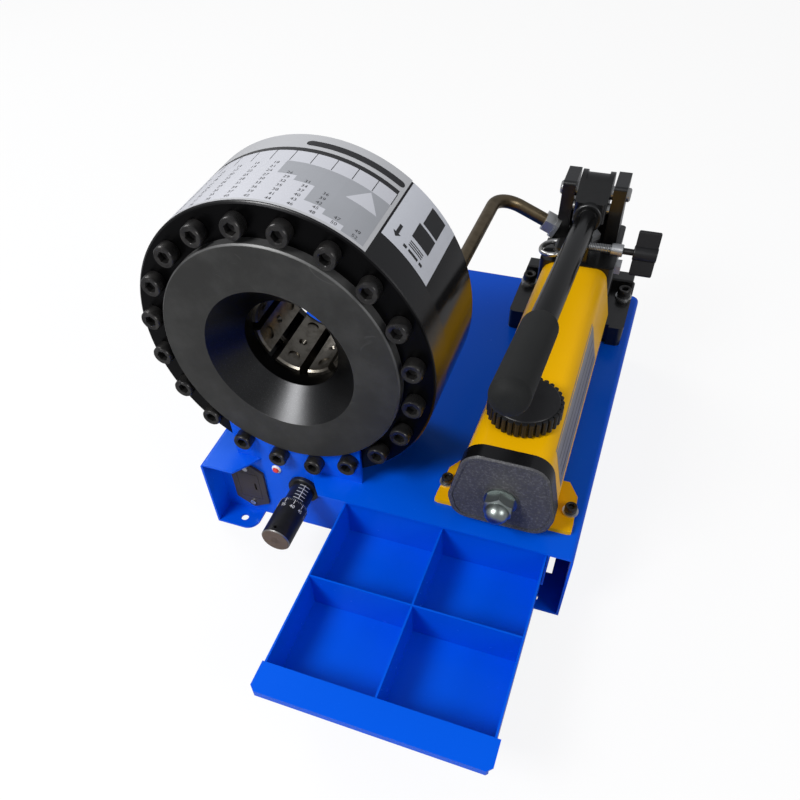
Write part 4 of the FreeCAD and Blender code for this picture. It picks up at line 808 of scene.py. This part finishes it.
@dataclass
class Assembly:
    """A sub-assembly of the machine, dressed in one go."""

    frame: dict[str, Any]

    def dress(self, finish: Finish, *nodes: str) -> None:
        """Gives one finish to CAD nodes.

        Args:
            finish: The finish.
            nodes: Names of the nodes.
        """
        material = finish.make()
        for name in nodes:
            target = self.frame["nodes"][name]
            target.data.materials.clear()
            target.data.materials.append(material)
            LOG.info("dressed %s with %s", name, material.name)

    def soften(self, width: float, *nodes: str) -> None:
        """Rounds the sharp edges of CAD nodes with a small bevel.

        Args:
            width: Bevel width in millimetres.
            nodes: Names of the nodes.
        """
        for name in nodes:
            modifier = self.frame["nodes"][name].modifiers.new("edge", "BEVEL")
            modifier.width = width * MM
            modifier.segments = 2
            modifier.limit_method = "ANGLE"
            modifier.angle_limit = math.radians(BEVEL_ANGLE)
            modifier.harden_normals = True
            modifier.use_clamp_overlap = True

    def place_screws(self, finish: Finish, out: Axis, kinds: Sequence[SocketScrew], *nodes: str) -> None:
        """Replaces the plain screws of CAD nodes with detailed ones in the same places.

        Args:
            finish: The screws' finish.
            out: Direction of the heads.
            kinds: The kinds of screw; each place takes the one whose head fits the solid there.
            nodes: Names of the nodes.
        """
        material = finish.make()
        direction = out.vector()
        for node in nodes:
            piece = Piece(node + "_detail")
            piece.material_slot(material)
            for i, (low, high) in enumerate(solids_of(self.frame, node)):
                middle, size = (low + high) / 2, (high - low) / MM
                length = abs(size.dot(direction))
                radius = sorted(size)[1] / 2 if length == max(size) else max(size) / 2
                screw = min(kinds, key=lambda kind: abs(kind.head_radius - radius))
                seat = middle + direction * (length / 2 - screw.head_height) * MM
                screw.add(piece, seat, direction, length - screw.head_height, turn=SOCKET_TURN * i)
            piece.finish("base", [node])


@dataclass
class PrintSheet:
    """A flat design wrapped on a barrel: places are (angle, back) and heights are above the barrel."""

    barrel: Barrel
    piece: Piece
    film_lift: float = 0.10
    ink_lift: float = 0.17
    cell: float = 4.0

    def patch(self, left: float, right: float, front: float, back: float, material: bpy.types.Material,
              lift: float) -> None:
        """A curved rectangle.

        Args:
            left: Larger angle.
            right: Smaller angle.
            front: Nearest distance behind the ring face.
            back: Furthest distance behind the ring face.
            material: What it is printed in.
            lift: Height above the drum.
        """
        slot = self.piece.material_slot(material)
        across = max(1, round(math.radians(left - right) * self.barrel.radius / self.cell))
        angles = [left + (right - left) * i / across for i in range(across + 1)]
        rows = [[self.piece.mesh.verts.new(self.barrel.point(angle, depth, lift)) for angle in angles]
                for depth in (front, back)]
        for i in range(across):
            face = self.piece.mesh.faces.new([rows[0][i], rows[0][i + 1], rows[1][i + 1], rows[1][i]])
            face.material_index = slot
            face.smooth = True

    def polygon(self, corners: Sequence[Place], material: bpy.types.Material, lift: float) -> None:
        """A filled outline of (angle, back) corners, cut into strips that follow the drum."""
        flat = bmesh.new()
        face = flat.faces.new([flat.verts.new((-a, b, 0.0)) for a, b in corners])
        face.normal_update()
        self._wrap(flat, material, lift)

    def _wrap(self, flat: bmesh.types.BMesh, material: bpy.types.Material, lift: float) -> None:
        """Slices a flat mesh of (-angle, back) places and lays it on the drum."""
        slot = self.piece.material_slot(material)
        step = math.degrees(self.cell / self.barrel.radius)
        low = min(v.co.x for v in flat.verts)
        high = max(v.co.x for v in flat.verts)
        cut = low + step
        while cut < high:
            geometry = flat.verts[:] + flat.edges[:] + flat.faces[:]
            bmesh.ops.bisect_plane(flat, geom=geometry, plane_co=(cut, 0, 0), plane_no=(1, 0, 0))
            cut += step
        placed = {v: self.piece.mesh.verts.new(self.barrel.point(-v.co.x, v.co.y, lift)) for v in flat.verts}
        for face in flat.faces:
            corners = [placed[v] for v in face.verts]
            if face.normal.z < 0:
                corners.reverse()
            made = self.piece.mesh.faces.new(corners)
            made.material_index = slot
            made.smooth = True
        flat.free()

    def text(self, words: str, angle: float, back: float, height: float,
             material: bpy.types.Material) -> None:
        """Plain numbers centred on a place, with their tops towards the back.

        Args:
            words: Digits.
            angle: Centre's angle.
            back: Centre's distance behind the ring face.
            height: Digit height in millimetres.
            material: The ink.
        """
        flat = digits(words, height)
        per_mm = math.degrees(1.0 / self.barrel.radius)
        for vertex in flat.verts:
            vertex.co = Vector((-angle + vertex.co.x * per_mm, back + vertex.co.y, 0.0))
        self._wrap(flat, material, self.ink_lift)


def digits(words: str, height: float) -> bmesh.types.BMesh:
    """Flat digits centred on the origin, in millimetres.

    Args:
        words: The digits.
        height: Their height.

    Returns:
        A mesh that the caller frees.
    """
    curve = bpy.data.curves.new("digits", "FONT")
    curve.body = words
    curve.size = height / DIGIT_SHARE
    curve.align_x = "CENTER"
    curve.align_y = "CENTER"
    curve.resolution_u = 2
    holder = bpy.data.objects.new("digits", curve)
    data = bpy.data.meshes.new_from_object(holder)
    flat = bmesh.new()
    flat.from_mesh(data)
    bpy.data.objects.remove(holder)
    bpy.data.curves.remove(curve)
    bpy.data.meshes.remove(data)
    return flat


@dataclass
class ChartLabel:
    """The setting chart on top of the drum: columns of plain numbers beside a stepped grey field."""

    head: HeadSizes
    right: float = 53.8
    left: float = 150.0
    front: float = 2.2
    back: float = 95.6
    column: float = 7.2
    first_line: float = 55.3
    row: float = 5.65
    first_row: float = 7.6
    digit: float = 3.1
    columns: int = 12
    rows: tuple[int, ...] = (2, 2, 5, 6, 7, 9)
    grid: Place = (4.4, 71.0)
    heading_back: float = 75.6
    cells_front: float = 57.0
    cell_line: float = 0.12
    field_back: float = 56.4
    paper_step: float = 0.02
    field_step: float = 0.045
    steps: tuple[Place, ...] = ((91.7, 39.7), (84.9, 33.8), (77.7, 16.0), (70.5, 10.2), (63.2, 4.7))
    triangle: tuple[Place, ...] = ((68.0, 37.2), (56.9, 37.2), (62.3, 55.0))
    bar: Place = (56.4, 89.0)
    bar_back: float = 83.4
    bar_round: Place = (1.6, 3.3)
    first_number: int = 52

    def build(self) -> bpy.types.Object:
        """Makes the label and its print."""
        film = Film("label_silver", (0.50, 0.505, 0.52), (0.45, 0.455, 0.47), 0.3).make()
        paper = Film("label_white", (0.60, 0.605, 0.65), (0.54, 0.55, 0.59), 0.34).make()
        grey = Film("label_grey", (0.36, 0.37, 0.40), (0.31, 0.32, 0.34), 0.38).make()
        ink = Ink("label_ink", (0.006, 0.006, 0.008)).make()
        piece = Piece("chart_label")
        sheet = PrintSheet(self.head.drum(), piece)
        sheet.patch(self.left, self.right, self.front, self.back, film, sheet.film_lift)
        grid_left = self.first_line + self.column * self.columns
        sheet.patch(grid_left, self.first_line, *self.grid, paper, sheet.film_lift + self.paper_step)
        self._stepped_field(sheet, grey)
        self._heading(sheet, ink, grid_left)
        self._numbers(sheet, ink)
        sheet.polygon(self.triangle, paper, sheet.ink_lift)
        made = piece.finish("base")
        return made

    def _stepped_field(self, sheet: PrintSheet, grey: bpy.types.Material) -> None:
        """Grey field that grows downwards in steps, one patch per column."""
        edges = [angle for angle, _ in self.steps] + [self.first_line]
        for (left, low), right in zip(self.steps, edges[1:]):
            sheet.patch(left, right, low, self.field_back, grey, sheet.film_lift + self.field_step)

    def _heading(self, sheet: PrintSheet, ink: bpy.types.Material, grid_left: float) -> None:
        """Black heading row, cell lines and the bare black bar behind them."""
        heading = self.grid[1]
        sheet.patch(grid_left, self.first_line, heading, self.heading_back, ink, sheet.ink_lift)
        for i in range(self.columns + 1):
            at = self.first_line + self.column * i
            left, right = at + self.cell_line, at - self.cell_line
            sheet.patch(left, right, self.cells_front, heading, ink, sheet.ink_lift)
        rounded = []
        for centre, start in zip(self.bar, (-90.0, 90.0)):
            for k in range(9):
                a = math.radians(start + 180.0 * k / 8)
                rounded.append((centre - self.bar_round[0] * math.cos(a),
                                self.bar_back + self.bar_round[1] * math.sin(a)))
        sheet.polygon(rounded, ink, sheet.ink_lift)

    def _numbers(self, sheet: PrintSheet, ink: bpy.types.Material) -> None:
        """Columns of plain numbers, longer towards the left."""
        for column in range(self.columns):
            at = self.first_line + self.column * (column + 0.5)
            for k in range(self.rows[min(column, len(self.rows) - 1)]):
                number = str(self.first_number - 2 * column - 3 * k)
                sheet.text(number, at, self.first_row + self.row * k, self.digit, ink)


@dataclass
class DiagramLabel:
    """White label with an arrow, two black blocks and a few strokes; marks are left, right, front, back."""

    head: HeadSizes
    left: float = 53.0
    right: float = 31.0
    front: float = 27.8
    back: float = 94.6
    arrow: tuple[Place, ...] = ((49.5, 48.8), (48.3, 48.8), (48.3, 39.6), (47.3, 39.6), (48.9, 35.4),
                                (50.5, 39.6), (49.5, 39.6))
    marks: tuple[tuple[float, float, float, float], ...] = (
        (44.3, 36.0, 49.0, 66.0), (43.2, 36.0, 68.4, 90.0),
        (43.8, 37.4, 44.0, 45.1), (43.8, 37.4, 41.8, 42.9), (43.8, 37.4, 39.6, 40.7),
        (42.9, 38.4, 34.4, 36.9), (45.25, 43.75, 34.2, 36.9), (37.55, 36.05, 34.2, 36.9))

    def build(self) -> bpy.types.Object:
        """Makes the label and its print."""
        paper = Film("diagram_white", (0.66, 0.67, 0.72), (0.59, 0.61, 0.66), 0.3).make()
        ink = Ink("diagram_ink", (0.005, 0.005, 0.007)).make()
        piece = Piece("diagram_label")
        sheet = PrintSheet(self.head.drum(), piece)
        sheet.patch(self.left, self.right, self.front, self.back, paper, sheet.film_lift)
        sheet.polygon(self.arrow, ink, sheet.ink_lift)
        for mark in self.marks:
            sheet.patch(*mark, ink, sheet.ink_lift)
        made = piece.finish("base")
        return made


@dataclass
class CrimpingHead(Assembly):
    """The ring-shaped head with its dies, screws and labels."""

    sizes: HeadSizes

    def build(self) -> None:
        """Dresses the head and adds its screws and labels."""
        self.dress(CoverBlack("cover_black_oxide", self.sizes), "front_cover")
        self.dress(Lacquer("drum_lacquer"), "cylinder_body")
        self.dress(TurnedBlack("sleeve_black_oxide", self.sizes, roughness=0.3, metal=0.8), "guide_sleeve")
        dies = Steel("die_steel", (0.24, 0.222, 0.19), (0.085, 0.072, 0.056), 0.27, (1.0, 8.0, 1.0), 0.8)
        self.dress(dies, *(f"master_die_{k + 1}" for k in range(8)))
        ground = Steel("ground_steel", (0.55, 0.55, 0.54), (0.3, 0.29, 0.27), 0.2)
        self.dress(ground, "piston", "striker_pin")
        self.dress(Moulded("seal_rubber", (0.012, 0.012, 0.012), (0.03, 0.03, 0.03)), "piston_seals")
        black = Steel("screw_black_oxide", SCREW_BLACK, SCREW_WORN, 0.2, metal=0.7)
        self.place_screws(black, Axis.FORWARD, [M10_SCREW], "ring_bolts", "bracket_bolts")
        self.place_screws(black, Axis.BACK, [LOW_SCREW], "sleeve_bolts")
        ChartLabel(self.sizes).build()
        DiagramLabel(self.sizes).build()


@dataclass
class SheetBase(Assembly):
    """The folded base, its panel, rails and drawer; edges gives the bevel of each node's edges."""

    edges: dict[str, float] = field(default_factory=lambda: {
        "base_cover": 0.5, "front_panel": 0.5, "drawer_tray": 0.5, "drawer_lip": 0.6, "cross_divider": 0.4,
        "long_dividers": 0.4})

    def build(self) -> None:
        """Dresses the sheet metal."""
        blue = PowderCoat("blue_powder_coat", (0.0, 0.092, 0.72), (0.0, 0.080, 0.65), glint=(0.25, 0.6, 1.0))
        self.dress(blue, *self.edges, "drawer_rails")
        for name, width in self.edges.items():
            self.soften(width, name)


@dataclass(frozen=True)
class DialBlack(Finish):
    """Black anodised dial with a bare, brownish end face and a bright metallic band painted round its front
    edge as a highlight.
    """

    end: float
    colour: Colour = (0.006, 0.006, 0.008)
    shade: Colour = (0.016, 0.016, 0.018)
    bare: Colour = (0.105, 0.073, 0.055)
    # Painted highlight: the colour of the bright band round the front edge.
    bright: Colour = (0.35, 0.34, 0.33)
    face_depth: float = 0.2
    highlight_depth: float = 1.1
    soft: float = 0.1

    def feeds(self, recipe: Recipe) -> dict[str, Any]:
        """What feeds the shader."""
        depth = recipe.split(recipe.place())[1] - self.end
        face = depth.step((self.face_depth + self.soft) * MM, (self.face_depth - self.soft) * MM)
        # Painted highlight: a bright metallic band just behind the end face.
        edge = depth.step((self.highlight_depth + self.soft) * MM, (self.highlight_depth - self.soft) * MM) - face
        cloud = recipe.noise(160.0, 3.0, 0.6)
        tint = recipe.blend(cloud, self.colour, self.shade)
        tint = recipe.blend(face, tint, self.bare)
        tint = recipe.blend(edge, tint, self.bright)
        return dict(
            Base_Color=tint,
            Metallic=edge,
            Roughness=0.26 + cloud * 0.1 + face * 0.25,
            Specular_IOR_Level=0.35,
        )


@dataclass
class MicrometerScale:
    """Engraved white marks of the stop: a ladder on the sleeve and numbered lines on the thimble."""

    facing: float = 66.0
    turn: float = 6.0
    sleeve_radius: float = 10.9
    flange: float = 4.0
    thimble_radius: float = 13.2
    bevel: float = 2.5
    tick_pitch: float = 3.7
    tick_half: float = 5.0
    ticks: int = 6
    first_tick: float = 1.6
    axial: Place = (-27.0, 0.6)
    divisions: int = 50
    numbered: int = 5
    first_number: int = 40
    long_mark: float = 5.0
    short_mark: float = 1.8
    number_back: float = 8.0
    digit: float = 3.2
    line: float = 0.5
    fine: float = 0.16
    lift: float = 0.04

    def build(self) -> None:
        """Makes the marks of both parts."""
        white = Ink("engraved_white", (0.85, 0.85, 0.84)).make()
        low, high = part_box("micrometer_thimble")
        centre = (low + high) / 2
        sleeve = Barrel(centre.x, centre.z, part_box("front_panel")[0].y, self.sleeve_radius)
        thimble = Barrel(centre.x, centre.z, high.y, self.thimble_radius)
        for name, barrel, marks, body in (("sleeve_scale", sleeve, self._sleeve, "base"),
                                          ("thimble_scale", thimble, self._thimble, "thimble")):
            piece = Piece(name)
            marks(PrintSheet(barrel, piece, cell=1.0), white)
            piece.finish(body)

    def _sleeve(self, sheet: PrintSheet, ink: bpy.types.Material) -> None:
        """Axial line crossed by evenly spaced ticks."""
        wide = self._degrees(self.line / 2, sheet)
        front, clear = self.axial
        sheet.patch(self.facing + wide, self.facing - wide, front, -self.flange - clear, ink, self.lift)
        half = self._degrees(self.tick_half, sheet)
        for k in range(self.ticks):
            back = -self.flange - self.first_tick - self.tick_pitch * k
            sheet.patch(self.facing + half, self.facing - half, back - self.line, back, ink, self.lift)

    def _thimble(self, sheet: PrintSheet, ink: bpy.types.Material) -> None:
        """Fine lines from the bevelled edge, with a long line and a number at every fifth."""
        for k in range(self.divisions):
            at = self.facing + self.turn - 360.0 / self.divisions * k
            numbered = k % self.numbered == 0
            wide = self._degrees((self.line if numbered else self.fine) / 2, sheet)
            length = self.long_mark if numbered else self.short_mark
            sheet.patch(at + wide, at - wide, -self.bevel - length, -self.bevel, ink, self.lift)
            if numbered:
                number = str((k + self.first_number) % self.divisions)
                sheet.text(number, at, -self.bevel - self.number_back, self.digit, ink)

    @staticmethod
    def _degrees(width: float, sheet: PrintSheet) -> float:
        """The angle of a width on the sheet's barrel."""
        return math.degrees(width / sheet.barrel.radius)


@dataclass
class LampLens:
    """Domed red lens that fills most of the bezel."""

    radius: float = 3.0
    rise: float = 1.7
    wall: float = 0.4
    foot: Place = (1.8, 1.0)

    def build(self) -> None:
        """Makes the lens in place of the plain one."""
        low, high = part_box("lamp_bezel")
        seat = Vector(((low.x + high.x) / 2, low.y, (low.z + high.z) / 2))
        piece = Piece("lamp_lens_detail")
        piece.material_slot(RedLens("lamp_red").make())
        angles = [math.radians(a) for a in range(0, 90, 15)]
        bulge = self.rise - self.wall
        dome = [(self.radius * math.cos(a), self.wall + bulge * math.sin(a)) for a in angles]
        inner, deep = self.foot
        profile = [(0.0, -deep), (inner, -deep), (inner, 0.0), (self.radius, 0.0), *dome, (0.0, self.rise)]
        piece.lathe(profile, seat, Axis.FORWARD.vector(), 32)
        piece.finish("base", ["lamp_lens"])


@dataclass
class ControlPanel(Assembly):
    """Micrometer stop, battery box and lamp."""

    def build(self) -> None:
        """Dresses the controls and adds the scale."""
        dial = DialBlack("dial_black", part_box("micrometer_thimble")[0].y)
        self.dress(dial, "micrometer_sleeve", "micrometer_thimble", "micrometer_nut")
        plastic = Moulded("panel_plastic", (0.036, 0.030, 0.030), (0.066, 0.056, 0.055), 0.38, 900.0, 0.00002,
                          shine=0.3)
        self.dress(plastic, "battery_housing", "battery_tray", "limit_switch")
        self.dress(Moulded("battery_sleeve", (0.02, 0.02, 0.025), (0.05, 0.05, 0.06), 0.3), "battery")
        self.dress(Film("bezel_white", (0.75, 0.75, 0.75), (0.65, 0.65, 0.65), 0.2), "lamp_bezel")
        LampLens().build()
        self.dress(Steel("panel_zinc", (0.62, 0.63, 0.64), (0.4, 0.41, 0.4), 0.25), "battery_screws")
        ground = Steel("spindle_steel", DialBlack.bare, (0.07, 0.05, 0.04), 0.4, metal=0.3)
        self.dress(ground, "micrometer_spindle")
        MicrometerScale().build()


@dataclass
class HandPump(Assembly):
    """The lever pump: tank, block, lever, valve and fittings."""

    edge: float = 0.6

    def build(self) -> None:
        """Dresses the pump."""
        yellow = PowderCoat("yellow_enamel", (0.84, 0.45, 0.001), (0.78, 0.40, 0.0005), roughness=0.27,
                            peel=0.00003, cells=300.0, shine=0.2, glint=(1.0, 0.8, 0.4))
        self.dress(yellow, "reservoir", "front_foot")
        self.dress(CastBlack("cast_black"), "pump_block", "handle_yoke")
        tube = Lacquer("lever_black", (0.001, 0.001, 0.001), (0.003, 0.003, 0.003), 0.12, shine=0.14)
        self.dress(tube, "lever_tube")
        foam = Moulded("grip_foam", (0.006, 0.0065, 0.0065), (0.019, 0.02, 0.02), roughness=0.66,
                       cells=1500.0, depth=0.00012, sheen=0.02, shine=0.22)
        self.dress(foam, "lever_grip")
        self.dress(CapPlastic("cap_plastic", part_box("end_cap")[0].y), "end_cap")
        knob = Moulded("knob_plastic", (0.007, 0.007, 0.008), (0.022, 0.022, 0.023), 0.27, 1000.0, 0.00003,
                       shine=0.35)
        self.dress(knob, "filler_cap", "valve_knob")
        self.dress(Steel("zinc_plate", (0.72, 0.73, 0.74), (0.45, 0.46, 0.45), 0.36), "mounting_washers",
                   "weld_nuts", "relief_plug", "plunger_gland", "pipe_nuts", "pipe_fittings")
        self.dress(Steel("nut_zinc", (0.36, 0.40, 0.385), (0.22, 0.24, 0.23), 0.26), "acorn_nut")
        self.dress(Steel("pin_steel", (0.58, 0.58, 0.57), (0.3, 0.29, 0.27), 0.2), "pivot_pin", "link_pin",
                   "pump_plunger", "tie_rod", "lock_bail")
        black = Steel("pump_screw_black", SCREW_BLACK, SCREW_WORN, 0.2, metal=0.7)
        self.place_screws(black, Axis.UP, [M8_SCREW, M6_SCREW], "mounting_screws")
        brown = Steel("pipe_olive", (0.20, 0.155, 0.095), (0.09, 0.07, 0.04), 0.26, (1.0, 0.1, 1.0))
        self.dress(brown, "pressure_pipe")
        self.soften(self.edge, "pump_block", "handle_yoke", "valve_knob", "front_foot")
        ReleaseStem().build()
        TankLabel(self.frame).build()


@dataclass
class ReleaseStem:
    """The release valve's stem: a threaded part, a smooth collar and a thin dark rod to the knob."""

    radius: float = 4.0
    pitch: float = 1.5
    depth: float = 0.55
    thread: float = 31.0
    collar_radius: float = 5.5
    collar_end: float = 42.0
    chamfer: float = 0.6
    rod_radius: float = 2.8

    def build(self) -> None:
        """Makes the stem in place of the plain one."""
        low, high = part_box("valve_stem")
        length = (high.x - low.x) / MM
        start = Vector((low.x, (low.y + high.y) / 2, (low.z + high.z) / 2))
        piece = Piece("valve_stem_detail")
        piece.material_slot(Steel("stem_zinc", (0.62, 0.63, 0.64), (0.34, 0.34, 0.33), 0.24).make())
        black = Steel("stem_dark", (0.03, 0.03, 0.03), SCREW_WORN, 0.3, metal=0.9)
        dark = piece.material_slot(black.make())
        root, collar, cut = self.radius - self.depth, self.collar_radius, self.chamfer
        profile = [(0.0, 0.0), (root, 0.0)]
        for k in range(int(self.thread / self.pitch)):
            at = 0.4 + self.pitch * k
            profile += [(root, at), (self.radius, at + 0.55 * self.pitch), (root, at + 0.95 * self.pitch)]
        profile += [(collar - cut, self.thread), (collar, self.thread + cut), (collar, self.collar_end - cut),
                    (collar - cut, self.collar_end), (self.rod_radius, self.collar_end)]
        piece.lathe(profile, start, Axis.RIGHT.vector(), 40)
        rod = [(self.rod_radius, self.collar_end), (self.rod_radius, length), (0.0, length)]
        piece.lathe(rod, start, Axis.RIGHT.vector(), 32, dark)
        piece.finish("release_valve", ["valve_stem"])


@dataclass
class TankLabel:
    """Bare grey label with ruled lines on the tank's right side, laid on by casting rays at the tank."""

    frame: dict[str, Any]
    front: float = 16.0
    back: float = 176.0
    low: float = 27.0
    high: float = 64.0
    lift: float = 0.12
    ink_lift: float = 0.18
    margin: float = 6.0
    lengths: int = 8
    rules: tuple[Place, ...] = ((0.18, 0.23), (0.42, 0.45), (0.64, 0.67))

    def build(self) -> None:
        """Makes the label; places are from the tank's front end and its underside."""
        target = self.frame["nodes"]["reservoir"].data
        corners = [v.co.copy() for v in target.vertices]
        tree = BVHTree.FromPolygons(corners, [p.vertices for p in target.polygons])
        box_low, box_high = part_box("reservoir")
        piece = Piece("tank_label")
        film = Film("tank_label_grey", (0.20, 0.195, 0.21), (0.14, 0.135, 0.145), 0.3).make()
        ink = Ink("tank_label_ink", (0.02, 0.02, 0.02)).make()
        self._sheet(piece, tree, box_low, box_high.x, (0.0, 1.0), film, self.lift)
        for rule in self.rules:
            self._sheet(piece, tree, box_low, box_high.x, rule, ink, self.ink_lift)
        piece.finish("base")

    def _sheet(self, piece: Piece, tree: BVHTree, corner: Vector, side: float, band: Place,
               material: bpy.types.Material, lift: float) -> None:
        """Lays one strip of the label on the tank.

        Args:
            piece: Where the mesh goes.
            tree: The tank's surface.
            corner: The tank's lowest corner, in metres.
            side: X of the tank's right side, in metres.
            band: Lower and upper edge as shares of the label's height.
            material: What the strip is made of.
            lift: Height above the paint in millimetres.
        """
        slot = piece.material_slot(material)
        whole = band[1] - band[0] > 0.5
        inset = 0.0 if whole else self.margin
        length = self.back - self.front - 2 * inset
        steps = 12 if whole else 2
        rows = []
        for k in range(steps + 1):
            share = band[0] + (band[1] - band[0]) * k / steps
            z = corner.z + (self.low + (self.high - self.low) * share) * MM
            row = []
            for i in range(self.lengths + 1):
                y = corner.y + (self.front + inset + length * i / self.lengths) * MM
                spot, normal, _, _ = tree.ray_cast(Vector((side + 0.05, y, z)), Axis.LEFT.vector())
                row.append(piece.mesh.verts.new(spot + normal * lift * MM))
            rows.append(row)
        for near, far in zip(rows, rows[1:]):
            for i in range(self.lengths):
                face = piece.mesh.faces.new([near[i], near[i + 1], far[i + 1], far[i]])
                face.material_index = slot
                face.smooth = True


@dataclass
class Studio:
    """Camera, lamps, floor and world; shown is the floor's glow to the camera, mirrored in reflections."""

    place: tuple[float, float, float] = (153.2, -532.2, 546.8)
    angles: tuple[float, float, float] = (38.377, 3.082, 20.822)
    lens: float = 32.546
    shift: tuple[float, float] = (0.0433, 0.1524)
    floor: Colour = (0.88, 0.88, 0.89)
    shown: Colour = (1.0, 1.0, 1.0)
    mirrored: Colour = (0.28, 0.28, 0.29)
    glow: float = 0.88
    floor_half: float = 6.0
    floor_drop: float = 0.2
    sky: Colour = (0.93, 0.95, 1.0)
    sky_strength: float = 0.34

    def build(self) -> None:
        """Sets up the whole studio."""
        self._camera()
        self._floor()
        self._world()
        self._lamp("key", (-0.72, -1.15, 1.35), 0.6, 25.0)
        self._lamp("fill", (1.45, -0.7, 1.1), 0.7, 8.0, 0.3)
        self._lamp("side", (-1.5, 0.7, 1.5), 0.8, 14.0)

    def _camera(self) -> None:
        """Places the camera that the photograph was taken with."""
        data = bpy.data.cameras.new("camera")
        data.sensor_width = 36.0
        data.lens = self.lens
        data.shift_x, data.shift_y = self.shift
        data.clip_start = 0.01
        camera = bpy.data.objects.new("camera", data)
        camera.location = Vector(self.place) * MM
        camera.rotation_euler = [math.radians(a) for a in self.angles]
        bpy.context.scene.collection.objects.link(camera)
        bpy.context.scene.camera = camera

    def _floor(self) -> None:
        """Lays the pale floor."""
        recipe = Recipe("studio_floor")
        recipe.feed(Base_Color=self.floor, Roughness=0.9, Specular_IOR_Level=0.1)
        seen = recipe.node("ShaderNodeLightPath", {}, {}, "Is Camera Ray")
        level = recipe.blend(seen, self.mirrored, self.shown)
        glow = recipe.node("ShaderNodeEmission", {}, {"Color": level, "Strength": 1.0})
        rays = seen.socket.node.outputs
        glossy, clear = (Value(recipe, rays[f"Is {kind} Ray"]) for kind in ("Glossy", "Transmission"))
        share = (seen + glossy + clear).clamp() * self.glow
        mixed = recipe.node("ShaderNodeMixShader", {}, {0: share, 2: glow})
        recipe.tree.links.new(recipe.shader.outputs[0], mixed.socket.node.inputs[1])
        recipe.tree.links.new(mixed.socket, recipe.output.inputs["Surface"])
        mesh = bmesh.new()
        bmesh.ops.create_grid(mesh, x_segments=8, y_segments=8, size=self.floor_half)
        data = bpy.data.meshes.new("studio_floor")
        mesh.to_mesh(data)
        mesh.free()
        data.materials.append(recipe.material)
        floor = bpy.data.objects.new("studio_floor", data)
        floor.location.z = -self.floor_drop * MM
        bpy.context.scene.collection.objects.link(floor)

    def _world(self) -> None:
        """Even pale surroundings."""
        world = bpy.data.worlds.new("studio")
        world.use_nodes = True
        back = world.node_tree.nodes["Background"]
        back.inputs["Color"].default_value = (*self.sky, 1.0)
        back.inputs["Strength"].default_value = self.sky_strength
        bpy.context.scene.world = world

    @staticmethod
    def _lamp(name: str, place: tuple[float, float, float], size: float, power: float,
              gleam: float = 1.0) -> None:
        """One soft square lamp aimed at the object's middle.

        Args:
            name: The lamp's name.
            place: Where it hangs, in metres.
            size: Length of its side, in metres.
            power: Watts.
            gleam: Share of it that reflections show.
        """
        data = bpy.data.lights.new(name, "AREA")
        data.shape = "SQUARE"
        data.size = size
        data.energy = power
        data.specular_factor = gleam
        lamp = bpy.data.objects.new(name, data)
        lamp.location = place
        lamp.rotation_euler = (LAMP_TARGET - lamp.location).to_track_quat("-Z", "Y").to_euler()
        bpy.context.scene.collection.objects.link(lamp)


def main() -> None:
    """Builds the studio and dresses every sub-assembly."""
    logging.basicConfig(level=logging.INFO, format="%(name)s %(message)s")
    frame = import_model()
    bpy.context.scene.view_settings.view_transform = "Standard"
    sizes = HeadSizes()
    sizes.read_frame()
    head = CrimpingHead(frame, sizes)
    for assembly in (Studio(), SheetBase(frame), head, ControlPanel(frame), HandPump(frame)):
        assembly.build()
        LOG.info("built %s", type(assembly).__name__)


if __name__ == "__main__":
    main()
